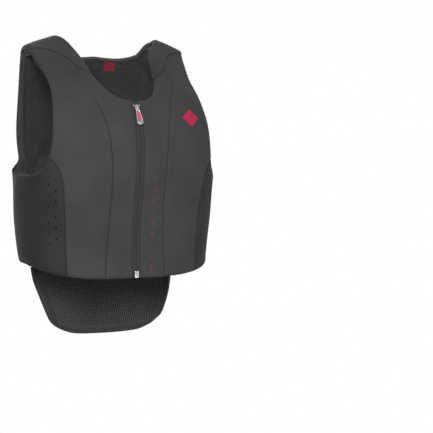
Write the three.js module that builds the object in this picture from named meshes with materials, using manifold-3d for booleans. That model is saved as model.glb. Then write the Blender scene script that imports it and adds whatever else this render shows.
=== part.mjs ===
// Equestrian body protector: a padded, zip-fronted riding vest with a drop tail.
// Millimetres. +X is the wearer's left, -Y the front and +Z up. The origin is the
// seat on the wearer's shoulders, midway between the undersides of the two straps.

import * as THREE from 'three';
import { mergeVertices } from 'three/addons/utils/BufferGeometryUtils.js';
import Module from 'manifold-3d';

const wasm = await Module();
wasm.setup();

// Body form
const halfWidth = 192; // centre to side seam at the waist
const frontDepth = 182; // shoulder ridge to the front at the bust
const backDepth = 94; // shoulder ridge to the back at the shoulder blades
const bodyLength = 492; // shoulder ridge to the front hem
const tailLength = 608; // shoulder ridge to the tip of the tail
const shoulderDroop = 51; // fall of the shoulder line out to the side
const crestFlat = 8; // flattens the ridge of the shoulders
const turnScale = 0.56 * Math.sqrt(bodyLength); // a turn against the fall, where outlines are smoothed

// Padding
const padWall = 14;
const liningWall = 2;
const liningSpace = 2.9;
const flapWall = 7;
const flapLift = 2;
const seamClearance = 0.3;
const flapClearance = 0.6;
const seamGroove = { width: 2.5, depth: 1 };
const rimRound = { width: 6, depth: 4 };
const flapRows = 9;
const flapThinsFrom = 3 / flapRows;
const flapThinTo = 4 / flapRows;
const tabFrom = 5 / flapRows;
const tabTo = 0.995;

// Ventilation
const holeRadius = 1.8;
const holeSides = 5;
const drillReach = 3;
const sideHolePitch = 20.1;
const sideHoleGroupGap = 9.5;
const spineHolePitch = 17.2;

// Zip
const zipHalfWidth = 7.5;
const coilHalfWidth = 2.4;
const coilTop = -0.6;
const coilWall = 2.6;
const tapeWall = 1.4;
const zipClearance = 0.35;
const sliderStart = 10.5; // top of the zip to the top of the slider
const sliderLength = 11;
const sliderWidth = 9;
const plateWall = 1.6;
const bridgeWidth = 3;
const bridgeRise = 3;
const bridgeWall = 1.1;
const barRadius = 0.8;
const armWidth = 1.5;
const pullerLength = 37; // hinge to the free end
const pullerWidth = 12.5;
const pullerTopWidth = 9;
const pullerWall = 1.6;
const pullerRim = 1.9;
const pullerFoot = 7.5; // how much further the rim reaches up at the free end
const pullerGap = 1.2; // slider's bridge to the plate of the puller
const boxInset = 1; // hem to the foot of the bottom box
const boxLength = 13;
const boxSpread = 3.2; // how much wider the box is than the coil
const boxHeight = 3.8;
const boxSlot = { width: 1.4, length: 6 };
const stopSize = { width: 1.8, length: 3, height: 2.2 };

// Sections down the body. drop is a share of bodyLength, width of halfWidth, front of
// frontDepth, back of backDepth and droop of shoulderDroop.
const sections = [
  { drop: 0.0, width: 1.25, front: 0.0, back: 0.0, droop: 1.0, boxy: 0.14 },
  { drop: 0.0205, width: 1.218, front: 0.178, back: 0.306, droop: 0.97, boxy: 0.14 },
  { drop: 0.081, width: 1.154, front: 0.322, back: 0.492, droop: 0.85, boxy: 0.15 },
  { drop: 0.1834, width: 1.088, front: 0.584, back: 0.745, droop: 0.55, boxy: 0.16 },
  { drop: 0.3053, width: 1.043, front: 0.851, back: 0.962, droop: 0.2, boxy: 0.21 },
  { drop: 0.4468, width: 1.03, front: 0.998, back: 1.04, droop: 0.0, boxy: 0.23 },
  { drop: 0.6097, width: 1.024, front: 0.978, back: 0.935, droop: 0.0, boxy: 0.17 },
  { drop: 0.7726, width: 1.015, front: 0.868, back: 0.88, droop: 0.0, boxy: 0.14 },
  { drop: 0.9309, width: 0.974, front: 0.812, back: 0.8, droop: 0.0, boxy: 0.14 },
  { drop: 1.0985, width: 0.893, front: 0.815, back: 0.45, droop: 0.0, boxy: 0.14 },
  { drop: 1.2567, width: 0.817, front: 0.82, back: 0.35, droop: 0.0, boxy: 0.14 },
];

// Outlines and seams. drop is a share of bodyLength, across of halfWidth, and turn runs
// from 0 at the centre line to 1 at the side seam. Rows of a back line have back: true.
const neckFlapBack = { drop: 0.0698, across: 0.45, back: true };
const neckFlapFront = { drop: 0.206, across: 0.352 };
const armFlapBack = { drop: 0.1955, turn: 0.515, back: true };
const armFlapFront = { drop: 0.03, turn: 0.439 };
const princessTop = { drop: 0.17, across: 0.468 };
const princessHem = { drop: 0.9998, across: 0.314 };
const sideSeamTop = { drop: 0.592, turn: 1 };
const sideSeamHem = { drop: 0.9234, turn: 1 };
const underarmTop = { drop: 0.539, turn: 0.575 };
const underarmHem = { drop: 0.9867, turn: 0.456 };
const zipTop = { drop: 0.3202, across: zipHalfWidth / halfWidth };
const zipHem = { drop: 1.0002, across: zipHalfWidth / halfWidth };
const bladeTop = { drop: 0.0838, across: 0.51, back: true };
const bladeOuter = { drop: 0.1741, across: 0.728, back: true };
const bladeInner = { drop: 0.2048, across: 0.255, back: true };
const bladeFoot = { drop: 0.3007, across: 0.493, back: true };
const waistSeam = { drop: 0.9421, across: 0.423, back: true };
const tailNotch = { drop: 0.957, across: 0.778, back: true };
const tailCorner = { drop: 1.192, across: 0.563, back: true };

const outlines = {
  neckBack: [
    { drop: 0.0987, across: 0, back: true },
    { drop: 0.1015, across: 0.128, back: true },
    { drop: 0.0987, across: 0.256, back: true },
    { drop: 0.0856, across: 0.374, back: true },
    neckFlapBack,
  ],
  neckShoulder: [
    neckFlapBack,
    { drop: 0.0484, across: 0.485, back: true },
    { drop: 0.0223, across: 0.515, back: true },
    { drop: 0.0, across: 0.535 },
    { drop: 0.0195, across: 0.512 },
    { drop: 0.0586, across: 0.452 },
    { drop: 0.1192, across: 0.398 },
    neckFlapFront,
  ],
  neckFront: [
    neckFlapFront,
    { drop: 0.2565, across: 0.289 },
    { drop: 0.2995, across: 0.199 },
    { drop: 0.3175, across: 0.105 },
    zipTop,
  ],
  armShoulder: [
    armFlapBack,
    { drop: 0.134, turn: 0.495, back: true },
    { drop: 0.0931, turn: 0.479, back: true },
    { drop: 0.0568, turn: 0.463, back: true },
    { drop: 0.0251, turn: 0.444, back: true },
    { drop: 0.0, turn: 0.431 },
    armFlapFront,
  ],
  armFront: [
    armFlapFront,
    { drop: 0.058, turn: 0.447 },
    { drop: 0.0931, turn: 0.45 },
    { drop: 0.1424, turn: 0.449 },
    { drop: 0.2011, turn: 0.453 },
    { drop: 0.2755, turn: 0.475 },
    { drop: 0.3724, turn: 0.507 },
    { drop: 0.4673, turn: 0.536 },
    underarmTop,
  ],
  underarmFront: [
    underarmTop,
    { drop: 0.5576, turn: 0.595 },
    { drop: 0.5855, turn: 0.664 },
    { drop: 0.5976, turn: 0.765 },
    { drop: 0.5986, turn: 0.891 },
    sideSeamTop,
  ],
  armBack: [
    armFlapBack,
    { drop: 0.27, turn: 0.526, back: true },
    { drop: 0.3621, turn: 0.54, back: true },
    { drop: 0.4794, turn: 0.544, back: true },
    { drop: 0.5148, turn: 0.542, back: true },
    { drop: 0.5334, turn: 0.546, back: true },
    { drop: 0.5492, turn: 0.577, back: true },
    { drop: 0.5725, turn: 0.624, back: true },
    { drop: 0.5939, turn: 0.693, back: true },
    { drop: 0.6004, turn: 0.8, back: true },
    { ...sideSeamTop, back: true },
  ],
  flapEdgeInner: [neckFlapFront, { drop: 0.194, across: 0.394 }, princessTop],
  flapEdgeOuter: [
    princessTop,
    { drop: 0.115, across: 0.548 },
    { drop: 0.063, across: 0.68 },
    armFlapFront,
  ],
  princess: [
    princessTop,
    { drop: 0.21, across: 0.482 },
    { drop: 0.256, across: 0.463 },
    { drop: 0.3137, across: 0.401 },
    { drop: 0.4329, across: 0.321 },
    { drop: 0.5781, across: 0.285 },
    { drop: 0.7633, across: 0.282 },
    princessHem,
  ],
  underarmSeam: [
    underarmTop,
    { drop: 0.56, turn: 0.53 },
    { drop: 0.592, turn: 0.488 },
    { drop: 0.645, turn: 0.462 },
    { drop: 0.72, turn: 0.449 },
    { drop: 0.82, turn: 0.444 },
    underarmHem,
  ],
  zip: [
    zipTop,
    { drop: 0.4189, across: zipHalfWidth / halfWidth },
    { drop: 0.5772, across: zipHalfWidth / halfWidth },
    { drop: 0.7447, across: zipHalfWidth / halfWidth },
    zipHem,
  ],
  sideSeamFront: [sideSeamTop, { drop: 0.7633, turn: 1 }, sideSeamHem],
  sideSeamBack: [
    { ...sideSeamTop, back: true },
    { drop: 0.7633, turn: 1, back: true },
    { ...sideSeamHem, back: true },
  ],
  hemCentre: [zipHem, { drop: 1.0002, across: 0.17 }, princessHem],
  hemFront: [princessHem, { drop: 0.9951, turn: 0.33 }, underarmHem],
  hemSide: [underarmHem, { drop: 0.9737, turn: 0.6 }, { drop: 0.9514, turn: 0.8 }, sideSeamHem],
  hemBack: [
    tailNotch,
    { drop: 0.9467, turn: 0.61, back: true },
    { drop: 0.9346, turn: 0.79, back: true },
    { ...sideSeamHem, back: true },
  ],
  bladeUpperOuter: [bladeTop, { drop: 0.1247, across: 0.621, back: true }, bladeOuter],
  bladeUpperInner: [bladeTop, { drop: 0.1489, across: 0.368, back: true }, bladeInner],
  bladeLowerInner: [bladeInner, { drop: 0.2523, across: 0.378, back: true }, bladeFoot],
  bladeLowerOuter: [bladeOuter, { drop: 0.2364, across: 0.612, back: true }, bladeFoot],
  yokeEnd: [neckFlapBack, bladeTop],
  flapBackEnd: [bladeOuter, { drop: 0.1852, across: 0.788, back: true }, armFlapBack],
  yokeFoot: [{ drop: 0.2104, across: 0, back: true }, { drop: 0.2095, across: 0.13, back: true }, bladeInner],
  spineSeam: [
    bladeFoot,
    { drop: 0.3835, across: 0.438, back: true },
    { drop: 0.5083, across: 0.383, back: true },
    { drop: 0.6321, across: 0.35, back: true },
    { drop: 0.755, across: 0.338, back: true },
    { drop: 0.8695, across: 0.347, back: true },
    waistSeam,
  ],
  waistInner: [
    { drop: 0.9467, across: 0, back: true },
    { drop: 0.9458, across: 0.2, back: true },
    waistSeam,
  ],
  waistOuter: [waistSeam, { drop: 0.9439, across: 0.585, back: true }, tailNotch],
  tailSide: [
    tailNotch,
    { drop: 1.01, across: 0.776, back: true },
    { drop: 1.06, across: 0.742, back: true },
    { drop: 1.12, across: 0.687, back: true },
    { drop: 1.165, across: 0.634, back: true },
    tailCorner,
  ],
};

// The tail's lower edge: reach is the share of the way from the tail's corners to its tip
const tailEdge = [
  { reach: 1.0, across: 0 },
  { reach: 0.95, across: 0.22 },
  { reach: 0.82, across: 0.36 },
  { reach: 0.6, across: 0.438 },
  { reach: 0.3, across: 0.514 },
];

// Columns of holes. first is the drop of the top hole as a share of bodyLength.
const sideHoles = [
  { turn: 0.515, first: 0.621, count: 6 },
  { turn: 0.575, first: 0.639, count: 6 },
  { turn: 0.641, first: 0.652, count: 6 },
  { turn: 0.769, first: 0.672, count: 6 },
  { turn: 0.87, first: 0.689, count: 5 },
];
const spineHoles = [
  { across: 0.229, first: 0.3426, count: 10, pitch: spineHolePitch },
  { across: 0.15, first: 0.3938, count: 5, pitch: 2 * spineHolePitch },
  { across: 0.073, first: 0.7801, count: 5, pitch: 0.9 * spineHolePitch },
  { across: 0.15, first: 0.7968, count: 3, pitch: 1.8 * spineHolePitch },
  { across: 0.22, first: 0.7801, count: 1, pitch: spineHolePitch },
];
const bladeHoles = { along: [0.24, 0.52, 0.79], across: [0.3, 0.68] };

const finishes = {
  shell: { color: 0x46474a, roughness: 0.85, metalness: 0 },
  perforated: { color: 0x3f4043, roughness: 0.9, metalness: 0 },
  lining: { color: 0x1d1e20, roughness: 0.95, metalness: 0 },
  tape: { color: 0x202123, roughness: 0.9, metalness: 0 },
  coil: { color: 0x2c2d30, roughness: 0.5, metalness: 0 },
  metal: { color: 0xc9cacc, roughness: 0.3, metalness: 1 },
  crimson: { color: 0xb3163f, roughness: 0.5, metalness: 0 },
};

const model = new THREE.Group();

// Smooth value of one column of the sections at a share of the square root of the drop
function sectionValue(column, root) {
  const last = sections.length - 1;
  const at = Math.min(Math.max(root, 0), Math.sqrt(sections[last].drop));
  let row = 0;
  while (row < last - 1 && at > Math.sqrt(sections[row + 1].drop)) {
    row += 1;
  }
  const place = (i) => Math.sqrt(sections[i].drop);
  const slope = (i) => (sections[i + 1][column] - sections[i][column]) / (place(i + 1) - place(i));
  const tangent = (i) => {
    if (i === 0) {
      return slope(0);
    }
    if (i === last) {
      return slope(last - 1);
    }
    const before = place(i) - place(i - 1);
    const after = place(i + 1) - place(i);
    return (slope(i - 1) * after + slope(i) * before) / (before + after);
  };
  const step = place(row + 1) - place(row);
  const t = (at - place(row)) / step;
  const from = sections[row][column];
  const to = sections[row + 1][column];
  return (2 * t ** 3 - 3 * t ** 2 + 1) * from + (3 * t ** 2 - 2 * t ** 3) * to
    + (t ** 3 - 2 * t ** 2 + t) * step * tangent(row) + (t ** 3 - t ** 2) * step * tangent(row + 1);
}

// How far across a section a turn reaches, and how deep it stands there
function sectionShape(turn, root) {
  const boxy = sectionValue('boxy', root);
  const angle = turn * Math.PI / 2;
  return {
    across: Math.sin(angle) * (1 + boxy * Math.cos(angle) ** 2),
    depth: Math.cos(angle) * (1 + boxy * Math.sin(angle) ** 2),
  };
}

// The outer form. turn runs from -1 to 1 between the side seams, and fall is the square
// root of the drop below the ridge, negative down the front and positive down the back.
function formPoint(turn, fall) {
  const root = Math.abs(fall) / Math.sqrt(bodyLength);
  const front = -frontDepth * sectionValue('front', root);
  const back = backDepth * sectionValue('back', root);
  const shape = sectionShape(turn, root);
  const x = halfWidth * sectionValue('width', root) * shape.across;
  const side = fall < 0 ? -1 : 1;
  const y = (back + front) / 2 + side * shape.depth * (back - front) / 2;
  const droop = shoulderDroop * sectionValue('droop', root) * (x / halfWidth) ** 2;
  return new THREE.Vector3(x, y, -Math.hypot(fall ** 2, crestFlat) - droop);
}

// The turn at which a section stands at a given x
function turnAcross(x, fall) {
  const root = Math.abs(fall) / Math.sqrt(bodyLength);
  const width = halfWidth * sectionValue('width', root);
  let turn = x / width * 0.6;
  for (let pass = 0; pass < 40; pass += 1) {
    const short = x / width - sectionShape(turn, root).across;
    turn += short * 0.55;
  }
  return turn;
}

// The straps' undersides meet the shoulders midway between neck and arm on the ridge
const strapMiddle = 0.7 * halfWidth;
const strapTop = formPoint(turnAcross(strapMiddle, 0), 0).z;
const seatHeight = padWall + liningSpace + liningWall - strapTop;

// A point on the form, lifted along its outward normal
function place(turn, fall, lift) {
  const turnStep = 0.002;
  const fallStep = 0.03;
  const point = formPoint(turn, fall);
  const along = formPoint(turn + turnStep, fall).sub(formPoint(turn - turnStep, fall));
  const down = formPoint(turn, fall + fallStep).sub(formPoint(turn, fall - fallStep));
  const normal = along.cross(down).normalize();
  return point.addScaledVector(normal, lift).add(new THREE.Vector3(0, 0, seatHeight));
}

// A row of an outline as a place on the form
function onForm(row, side = 1) {
  const fall = (row.back ? 1 : -1) * Math.sqrt(row.drop * bodyLength);
  const turn = row.turn ?? turnAcross(row.across * halfWidth, fall);
  return [side * turn, fall];
}

// A smooth line through places on the form, by a share of its length
function smoothLine(places) {
  const points = places.map(([turn, fall]) => new THREE.Vector3(turn * turnScale, fall, 0));
  const curve = new THREE.CatmullRomCurve3(points, false, 'centripetal');
  return (t) => {
    const point = curve.getPointAt(Math.min(Math.max(t, 0), 1));
    return [point.x / turnScale, point.y];
  };
}

const reverse = (line) => (t) => line(1 - t);

// Several lines end to end. counts are the grid steps that each one takes.
function joined(lines, counts) {
  const total = counts.reduce((sum, count) => sum + count, 0);
  return (t) => {
    let start = 0;
    for (let i = 0; i < lines.length; i += 1) {
      const share = counts[i] / total;
      if (t <= start + share + 1e-9 || i === lines.length - 1) {
        return lines[i]((t - start) / share);
      }
      start += share;
    }
    return lines[lines.length - 1](1);
  };
}

// Every outline on one side of the body, 1 for the wearer's left and -1 for the right
function sideLines(side) {
  const lines = {};
  for (const [name, rows] of Object.entries(outlines)) {
    lines[name] = smoothLine(rows.map((row) => onForm(row, side)));
  }
  const cornerDrop = tailCorner.drop * bodyLength;
  const tailRows = tailEdge.map(({ reach, across }) => (
    { drop: (cornerDrop + reach * (tailLength - cornerDrop)) / bodyLength, across, back: true }));
  lines.tailFoot = smoothLine([...tailRows, tailCorner].map((row) => onForm(row, side)));
  return lines;
}

// A patch of the form between four lines: head and foot run across it, near and far down it
function patchOf(head, foot, near, far) {
  return (u, v) => {
    const corners = [head(0), head(1), foot(0), foot(1)];
    return [0, 1].map((k) => (1 - v) * head(u)[k] + v * foot(u)[k] + (1 - u) * near(v)[k] + u * far(v)[k]
      - (1 - u) * (1 - v) * corners[0][k] - u * (1 - v) * corners[1][k]
      - (1 - u) * v * corners[2][k] - u * v * corners[3][k]);
  };
}

// The part of a patch between two shares each way
const partOf = (patch, u0, u1, v0, v1) => (u, v) => patch(u0 + (u1 - u0) * u, v0 + (v1 - v0) * v);

// Length on the form of a line of a patch
function lineLength(at) {
  const steps = 12;
  let length = 0;
  for (let i = 0; i < steps; i += 1) {
    length += place(...at(i / steps), 0).distanceTo(place(...at((i + 1) / steps), 0));
  }
  return length;
}

function meshFrom(positions, triangles) {
  const geometry = new THREE.BufferGeometry();
  geometry.setAttribute('position', new THREE.BufferAttribute(Float32Array.from(positions), 3));
  geometry.setIndex(Array.from(triangles));
  return geometry;
}

function signedVolume(positions, triangles) {
  const corner = (i) => new THREE.Vector3().fromArray(positions, 3 * i);
  let volume = 0;
  for (let i = 0; i < triangles.length; i += 3) {
    const [a, b, c] = [corner(triangles[i]), corner(triangles[i + 1]), corner(triangles[i + 2])];
    volume += a.dot(b.cross(c)) / 6;
  }
  return volume;
}

// An edge that is a rim down to a share of its length and a seam from there on
const rimThenSeam = (change) => ({
  width: rimRound.width,
  depth: (t) => (t < change ? rimRound.depth : seamGroove.depth),
});

function edgeDepth(edge, t) {
  if (!edge) {
    return 0;
  }
  return typeof edge.depth === 'function' ? edge.depth(t) : edge.depth;
}

// A padded piece over a patch. edges gives the groove or rim at head, foot, near and far,
// and outer and inner give the lift of its two faces.
function paddedPiece(patch, { columns, rows, edges, outer = () => 0, inner = () => -padWall }) {
  const lengthAcross = lineLength((t) => patch(t, 0.5));
  const lengthDown = lineLength((t) => patch(0.5, t));
  const stations = (count, length, first, last) => {
    const list = [{ at: 0, edge: first }];
    for (let i = 0; i <= count; i += 1) {
      list.push({ at: i / count });
    }
    list[1].at = first.width / length;
    list[count + 1].at = 1 - last.width / length;
    list.push({ at: 1, edge: last });
    return list;
  };
  const across = stations(columns, lengthAcross, edges.near, edges.far);
  const down = stations(rows, lengthDown, edges.head, edges.foot);
  const clearAcross = down.map(({ at }) => seamClearance / lineLength((t) => patch(t, at)));
  const clearDown = across.map(({ at }) => seamClearance / lineLength((t) => patch(at, t)));
  const positions = [];
  for (const face of [outer, inner]) {
    down.forEach((row, j) => across.forEach((column, i) => {
      const u = clearAcross[j] + (1 - 2 * clearAcross[j]) * column.at;
      const v = clearDown[i] + (1 - 2 * clearDown[i]) * row.at;
      const sunk = Math.max(edgeDepth(row.edge, column.at), edgeDepth(column.edge, row.at));
      const lift = face(column.at, row.at) - (face === outer ? sunk : 0);
      positions.push(...place(...patch(u, v), lift));
    }));
  }
  const wide = across.length;
  const layer = wide * down.length;
  const triangles = [];
  const quad = (a, b, c, d) => triangles.push(a, b, c, a, c, d);
  for (let j = 0; j < down.length - 1; j += 1) {
    for (let i = 0; i < wide - 1; i += 1) {
      const a = j * wide + i;
      quad(a, a + 1, a + wide + 1, a + wide);
      quad(layer + a, layer + a + wide, layer + a + wide + 1, layer + a + 1);
    }
  }
  for (let i = 0; i < wide - 1; i += 1) {
    const end = (down.length - 1) * wide + i;
    quad(i + 1, i, layer + i, layer + i + 1);
    quad(end, end + 1, layer + end + 1, layer + end);
  }
  for (let j = 0; j < down.length - 1; j += 1) {
    const a = j * wide;
    const b = a + wide - 1;
    quad(a, a + wide, layer + a + wide, layer + a);
    quad(b + wide, b, layer + b, layer + b + wide);
  }
  if (signedVolume(positions, triangles) < 0) {
    triangles.reverse();
  }
  return { positions, triangles };
}

function solidOf({ positions, triangles }) {
  return new wasm.Manifold(new wasm.Mesh({
    numProp: 3,
    vertProperties: Float32Array.from(positions),
    triVerts: Uint32Array.from(triangles),
  }));
}

function geometryOf(solid) {
  const { vertProperties, triVerts } = solid.getMesh();
  return meshFrom(vertProperties, triVerts);
}

// A three.js geometry as a solid that can be joined and cut
function solidFrom(geometry) {
  geometry.deleteAttribute('normal');
  geometry.deleteAttribute('uv');
  const merged = mergeVertices(geometry);
  return solidOf({ positions: merged.getAttribute('position').array, triangles: merged.getIndex().array });
}

// A drill through the wall at a place on the form
function drillAt([turn, fall]) {
  const outside = place(turn, fall, drillReach);
  const inside = place(turn, fall, -padWall - drillReach);
  const axis = outside.clone().sub(inside);
  const turned = new THREE.Quaternion().setFromUnitVectors(
    new THREE.Vector3(0, 1, 0), axis.clone().normalize());
  const drill = new THREE.CylinderGeometry(holeRadius, holeRadius, axis.length(), holeSides);
  const middle = outside.add(inside).multiplyScalar(0.5);
  return solidFrom(drill.applyQuaternion(turned).translate(middle.x, middle.y, middle.z));
}

// A piece drilled at the places given, with its flat faces joined again
function pierced(piece, places) {
  const drills = wasm.Manifold.union(places.map(drillAt));
  return geometryOf(solidOf(piece).subtract(drills).asOriginal().simplify(0.01));
}

function add(name, geometry, finish) {
  geometry.computeVertexNormals();
  const mesh = new THREE.Mesh(geometry, new THREE.MeshStandardMaterial(finishes[finish]));
  mesh.name = name;
  model.add(mesh);
}

const addPiece = (name, piece, finish) => add(name, meshFrom(piece.positions, piece.triangles), finish);

// Grid steps that neighbouring pieces share along their seams
const bodySteps = 12;
const neckSteps = 4;
const armSteps = 6;
const bladeSteps = 2;
const yokeEndSteps = 1;
const centreSteps = 3;
const flankSteps = 5;
const spineSteps = 3;
const waistSteps = 2;

const sides = { l: sideLines(1), r: sideLines(-1) };
const holeFall = (share, offset) => Math.sqrt(share * bodyLength + offset);

function buildFront(end, lines) {
  const rims = { head: seamGroove, foot: rimRound, near: seamGroove, far: seamGroove };
  const centreRims = { ...rims, near: rimThenSeam(neckSteps / bodySteps) };
  const flankRims = { ...rims, far: rimThenSeam(armSteps / bodySteps) };
  const centre = patchOf(lines.flapEdgeInner, lines.hemCentre,
    joined([lines.neckFront, lines.zip], [neckSteps, bodySteps - neckSteps]), lines.princess);
  addPiece(`front_centre_${end}`,
    paddedPiece(centre, { columns: centreSteps, rows: bodySteps, edges: centreRims }), 'shell');

  const flank = patchOf(lines.flapEdgeOuter, lines.hemFront, lines.princess,
    joined([lines.armFront, lines.underarmSeam], [armSteps, bodySteps - armSteps]));
  addPiece(`front_side_${end}`,
    paddedPiece(flank, { columns: flankSteps, rows: bodySteps, edges: flankRims }), 'shell');
}

function buildSide(end, lines, side) {
  const edges = { head: rimRound, foot: rimRound, near: seamGroove, far: seamGroove };
  const patch = patchOf(lines.underarmFront, lines.hemSide, lines.underarmSeam, lines.sideSeamFront);
  const places = [];
  for (const { turn, first, count } of sideHoles) {
    for (let i = 0; i < count; i += 1) {
      const offset = i * sideHolePitch + (i > 2 ? sideHoleGroupGap : 0);
      places.push([side * turn, -holeFall(first, offset)]);
    }
  }
  const piece = paddedPiece(patch, { columns: 5, rows: bodySteps - armSteps, edges });
  add(`side_panel_${end}`, pierced(piece, places), 'perforated');
}

function buildShoulder(end, lines) {
  const steps = [yokeEndSteps, bladeSteps, flankSteps];
  const back = joined([lines.yokeEnd, lines.bladeUpperOuter, lines.flapBackEnd], steps);
  const front = joined([lines.flapEdgeInner, lines.flapEdgeOuter], [centreSteps, flankSteps]);
  const patch = patchOf(back, front, lines.neckShoulder, lines.armShoulder);
  const thinned = (v) => Math.min(Math.max((v - flapThinsFrom) / (flapThinTo - flapThinsFrom), 0), 1);
  addPiece(`shoulder_flap_${end}`, paddedPiece(patch, {
    columns: centreSteps + flankSteps,
    rows: flapRows,
    edges: { head: seamGroove, foot: seamGroove, near: rimRound, far: rimRound },
    outer: (u, v) => flapLift * thinned(v),
    inner: (u, v) => -padWall + (padWall - flapWall) * thinned(v),
  }), 'shell');

  const tab = partOf(patch, 0, 1, tabFrom, tabTo);
  addPiece(`shoulder_tab_${end}`, paddedPiece(tab, {
    columns: centreSteps + flankSteps,
    rows: 4,
    edges: { head: seamGroove, foot: seamGroove, near: seamGroove, far: seamGroove },
    outer: () => -flapWall - flapClearance,
  }), 'shell');
}

function buildBlade(end, lines) {
  const patch = patchOf(lines.bladeUpperInner, lines.bladeLowerOuter,
    lines.bladeUpperOuter, lines.bladeLowerInner);
  const edges = { head: seamGroove, foot: seamGroove, near: seamGroove, far: seamGroove };
  const places = bladeHoles.along.flatMap((u) => bladeHoles.across.map((v) => patch(u, v)));
  const pad = paddedPiece(patch, { columns: bladeSteps, rows: bladeSteps, edges });
  add(`blade_panel_${end}`, pierced(pad, places), 'perforated');
}

function buildBackSide(end, lines) {
  const near = joined([lines.bladeLowerOuter, lines.spineSeam], [bladeSteps, bodySteps - bladeSteps]);
  const far = joined([lines.armBack, lines.sideSeamBack], [armSteps, bodySteps - armSteps]);
  const foot = joined([lines.waistOuter, lines.hemBack], [waistSteps, flankSteps - waistSteps]);
  const edges = { head: seamGroove, foot: rimRound, near: seamGroove, far: rimThenSeam(armSteps / bodySteps) };
  const patch = patchOf(lines.flapBackEnd, foot, near, far);
  addPiece(`back_side_${end}`, paddedPiece(patch, { columns: flankSteps, rows: bodySteps, edges }), 'shell');
}

// Lines that cross the body from the wearer's right to the left
function crossed(name) {
  return joined([reverse(sides.r[name]), sides.l[name]], [1, 1]);
}

function buildBack() {
  const seams = { head: seamGroove, foot: seamGroove, near: seamGroove, far: seamGroove };
  const yokeSide = (lines) => joined([lines.yokeEnd, lines.bladeUpperInner], [yokeEndSteps, bladeSteps]);
  const yoke = patchOf(crossed('neckBack'), crossed('yokeFoot'), yokeSide(sides.r), yokeSide(sides.l));
  addPiece('neck_yoke', paddedPiece(yoke, {
    columns: 2 * spineSteps,
    rows: yokeEndSteps + bladeSteps,
    edges: { ...seams, head: rimRound },
  }), 'shell');

  const spineSide = (lines) => joined([lines.bladeLowerInner, lines.spineSeam],
    [bladeSteps, bodySteps - bladeSteps]);
  const spine = patchOf(crossed('yokeFoot'), crossed('waistInner'), spineSide(sides.r), spineSide(sides.l));
  const places = [];
  for (const { across, first, count, pitch } of spineHoles) {
    for (let i = 0; i < count; i += 1) {
      const fall = holeFall(first, i * pitch);
      const turn = turnAcross(across * halfWidth, fall);
      places.push([turn, fall], [-turn, fall]);
    }
  }
  const spinePiece = paddedPiece(spine, { columns: 2 * spineSteps, rows: bodySteps, edges: seams });
  add('back_centre', pierced(spinePiece, places), 'perforated');

  addPiece('tail', paddedPiece(tailPatch(spineSteps, waistSteps), {
    columns: 2 * (spineSteps + waistSteps),
    rows: 5,
    edges: { head: seamGroove, foot: rimRound, near: rimRound, far: rimRound },
  }), 'shell');
}

function tailPatch(inner, outer) {
  const waist = (lines) => joined([lines.waistInner, lines.waistOuter], [inner, outer]);
  const head = joined([reverse(waist(sides.r)), waist(sides.l)], [1, 1]);
  return patchOf(head, crossed('tailFoot'), sides.r.tailSide, sides.l.tailSide);
}

// The mesh lining, a thin skin inside the pads
function buildLining() {
  const edges = { head: seamGroove, foot: seamGroove, near: seamGroove, far: seamGroove };
  const skin = {
    edges,
    outer: () => -padWall - liningSpace,
    inner: () => -padWall - liningSpace - liningWall,
  };
  const frontSteps = [2, 3];
  const shoulderSteps = [1, 1, 3];
  const hemSteps = [2, 2, 3];
  for (const [end, lines] of Object.entries(sides)) {
    const head = joined([lines.flapEdgeInner, lines.flapEdgeOuter], frontSteps);
    const foot = joined([lines.hemCentre, lines.hemFront, lines.hemSide], [1, 2, 2]);
    const near = joined([lines.neckFront, lines.zip], [3, 7]);
    const far = joined([lines.armFront, lines.underarmFront, lines.sideSeamFront], [4, 3, 3]);
    const front = patchOf(head, foot, near, far);
    addPiece(`front_lining_${end}`, paddedPiece(front, { ...skin, columns: 5, rows: 10 }), 'lining');
    const shoulder = patchOf(
      joined([lines.yokeEnd, lines.bladeUpperOuter, lines.flapBackEnd], shoulderSteps), head,
      lines.neckShoulder, lines.armShoulder);
    addPiece(`shoulder_lining_${end}`, paddedPiece(shoulder, { ...skin, columns: 5, rows: 6 }), 'lining');
  }
  const top = (lines) => joined(
    [lines.neckBack, lines.yokeEnd, lines.bladeUpperOuter, lines.flapBackEnd], [2, ...shoulderSteps]);
  const hem = (lines) => joined([lines.waistInner, lines.waistOuter, lines.hemBack], hemSteps);
  const arm = (lines) => joined([lines.armBack, lines.sideSeamBack], [armSteps, 3]);
  const back = patchOf(
    joined([reverse(top(sides.r)), top(sides.l)], [1, 1]),
    joined([reverse(hem(sides.r)), hem(sides.l)], [1, 1]), arm(sides.r), arm(sides.l));
  addPiece('back_lining', paddedPiece(back, { ...skin, columns: 14, rows: armSteps + 3 }), 'lining');
  const tail = tailPatch(hemSteps[0], hemSteps[1]);
  addPiece('tail_lining', paddedPiece(tail, { ...skin, columns: 8, rows: 4 }), 'lining');
}

// A strip that follows the front centre line between two x places and two lifts
function frontStrip(x0, x1, dropTop, dropFoot, top, wall, steps) {
  const positions = [];
  for (let i = 0; i <= steps; i += 1) {
    const fall = -Math.sqrt(dropTop + (dropFoot - dropTop) * i / steps);
    for (const [x, lift] of [[x0, top], [x1, top], [x1, top - wall], [x0, top - wall]]) {
      positions.push(...place(turnAcross(x, fall), fall, lift));
    }
  }
  const triangles = [0, 1, 2, 0, 2, 3];
  for (let i = 0; i < steps; i += 1) {
    for (let k = 0; k < 4; k += 1) {
      const a = 4 * i + k;
      const b = 4 * i + (k + 1) % 4;
      triangles.push(a, a + 4, b + 4, a, b + 4, b);
    }
  }
  const end = 4 * steps;
  triangles.push(end, end + 2, end + 1, end, end + 3, end + 2);
  if (signedVolume(positions, triangles) < 0) {
    triangles.reverse();
  }
  return { positions, triangles };
}

// A box in the slider's own frame: x across, y up the zip, z off the front
function box(width, length, height, x, y, z) {
  return solidFrom(new THREE.BoxGeometry(width, length, height).translate(x, y, z));
}

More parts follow.
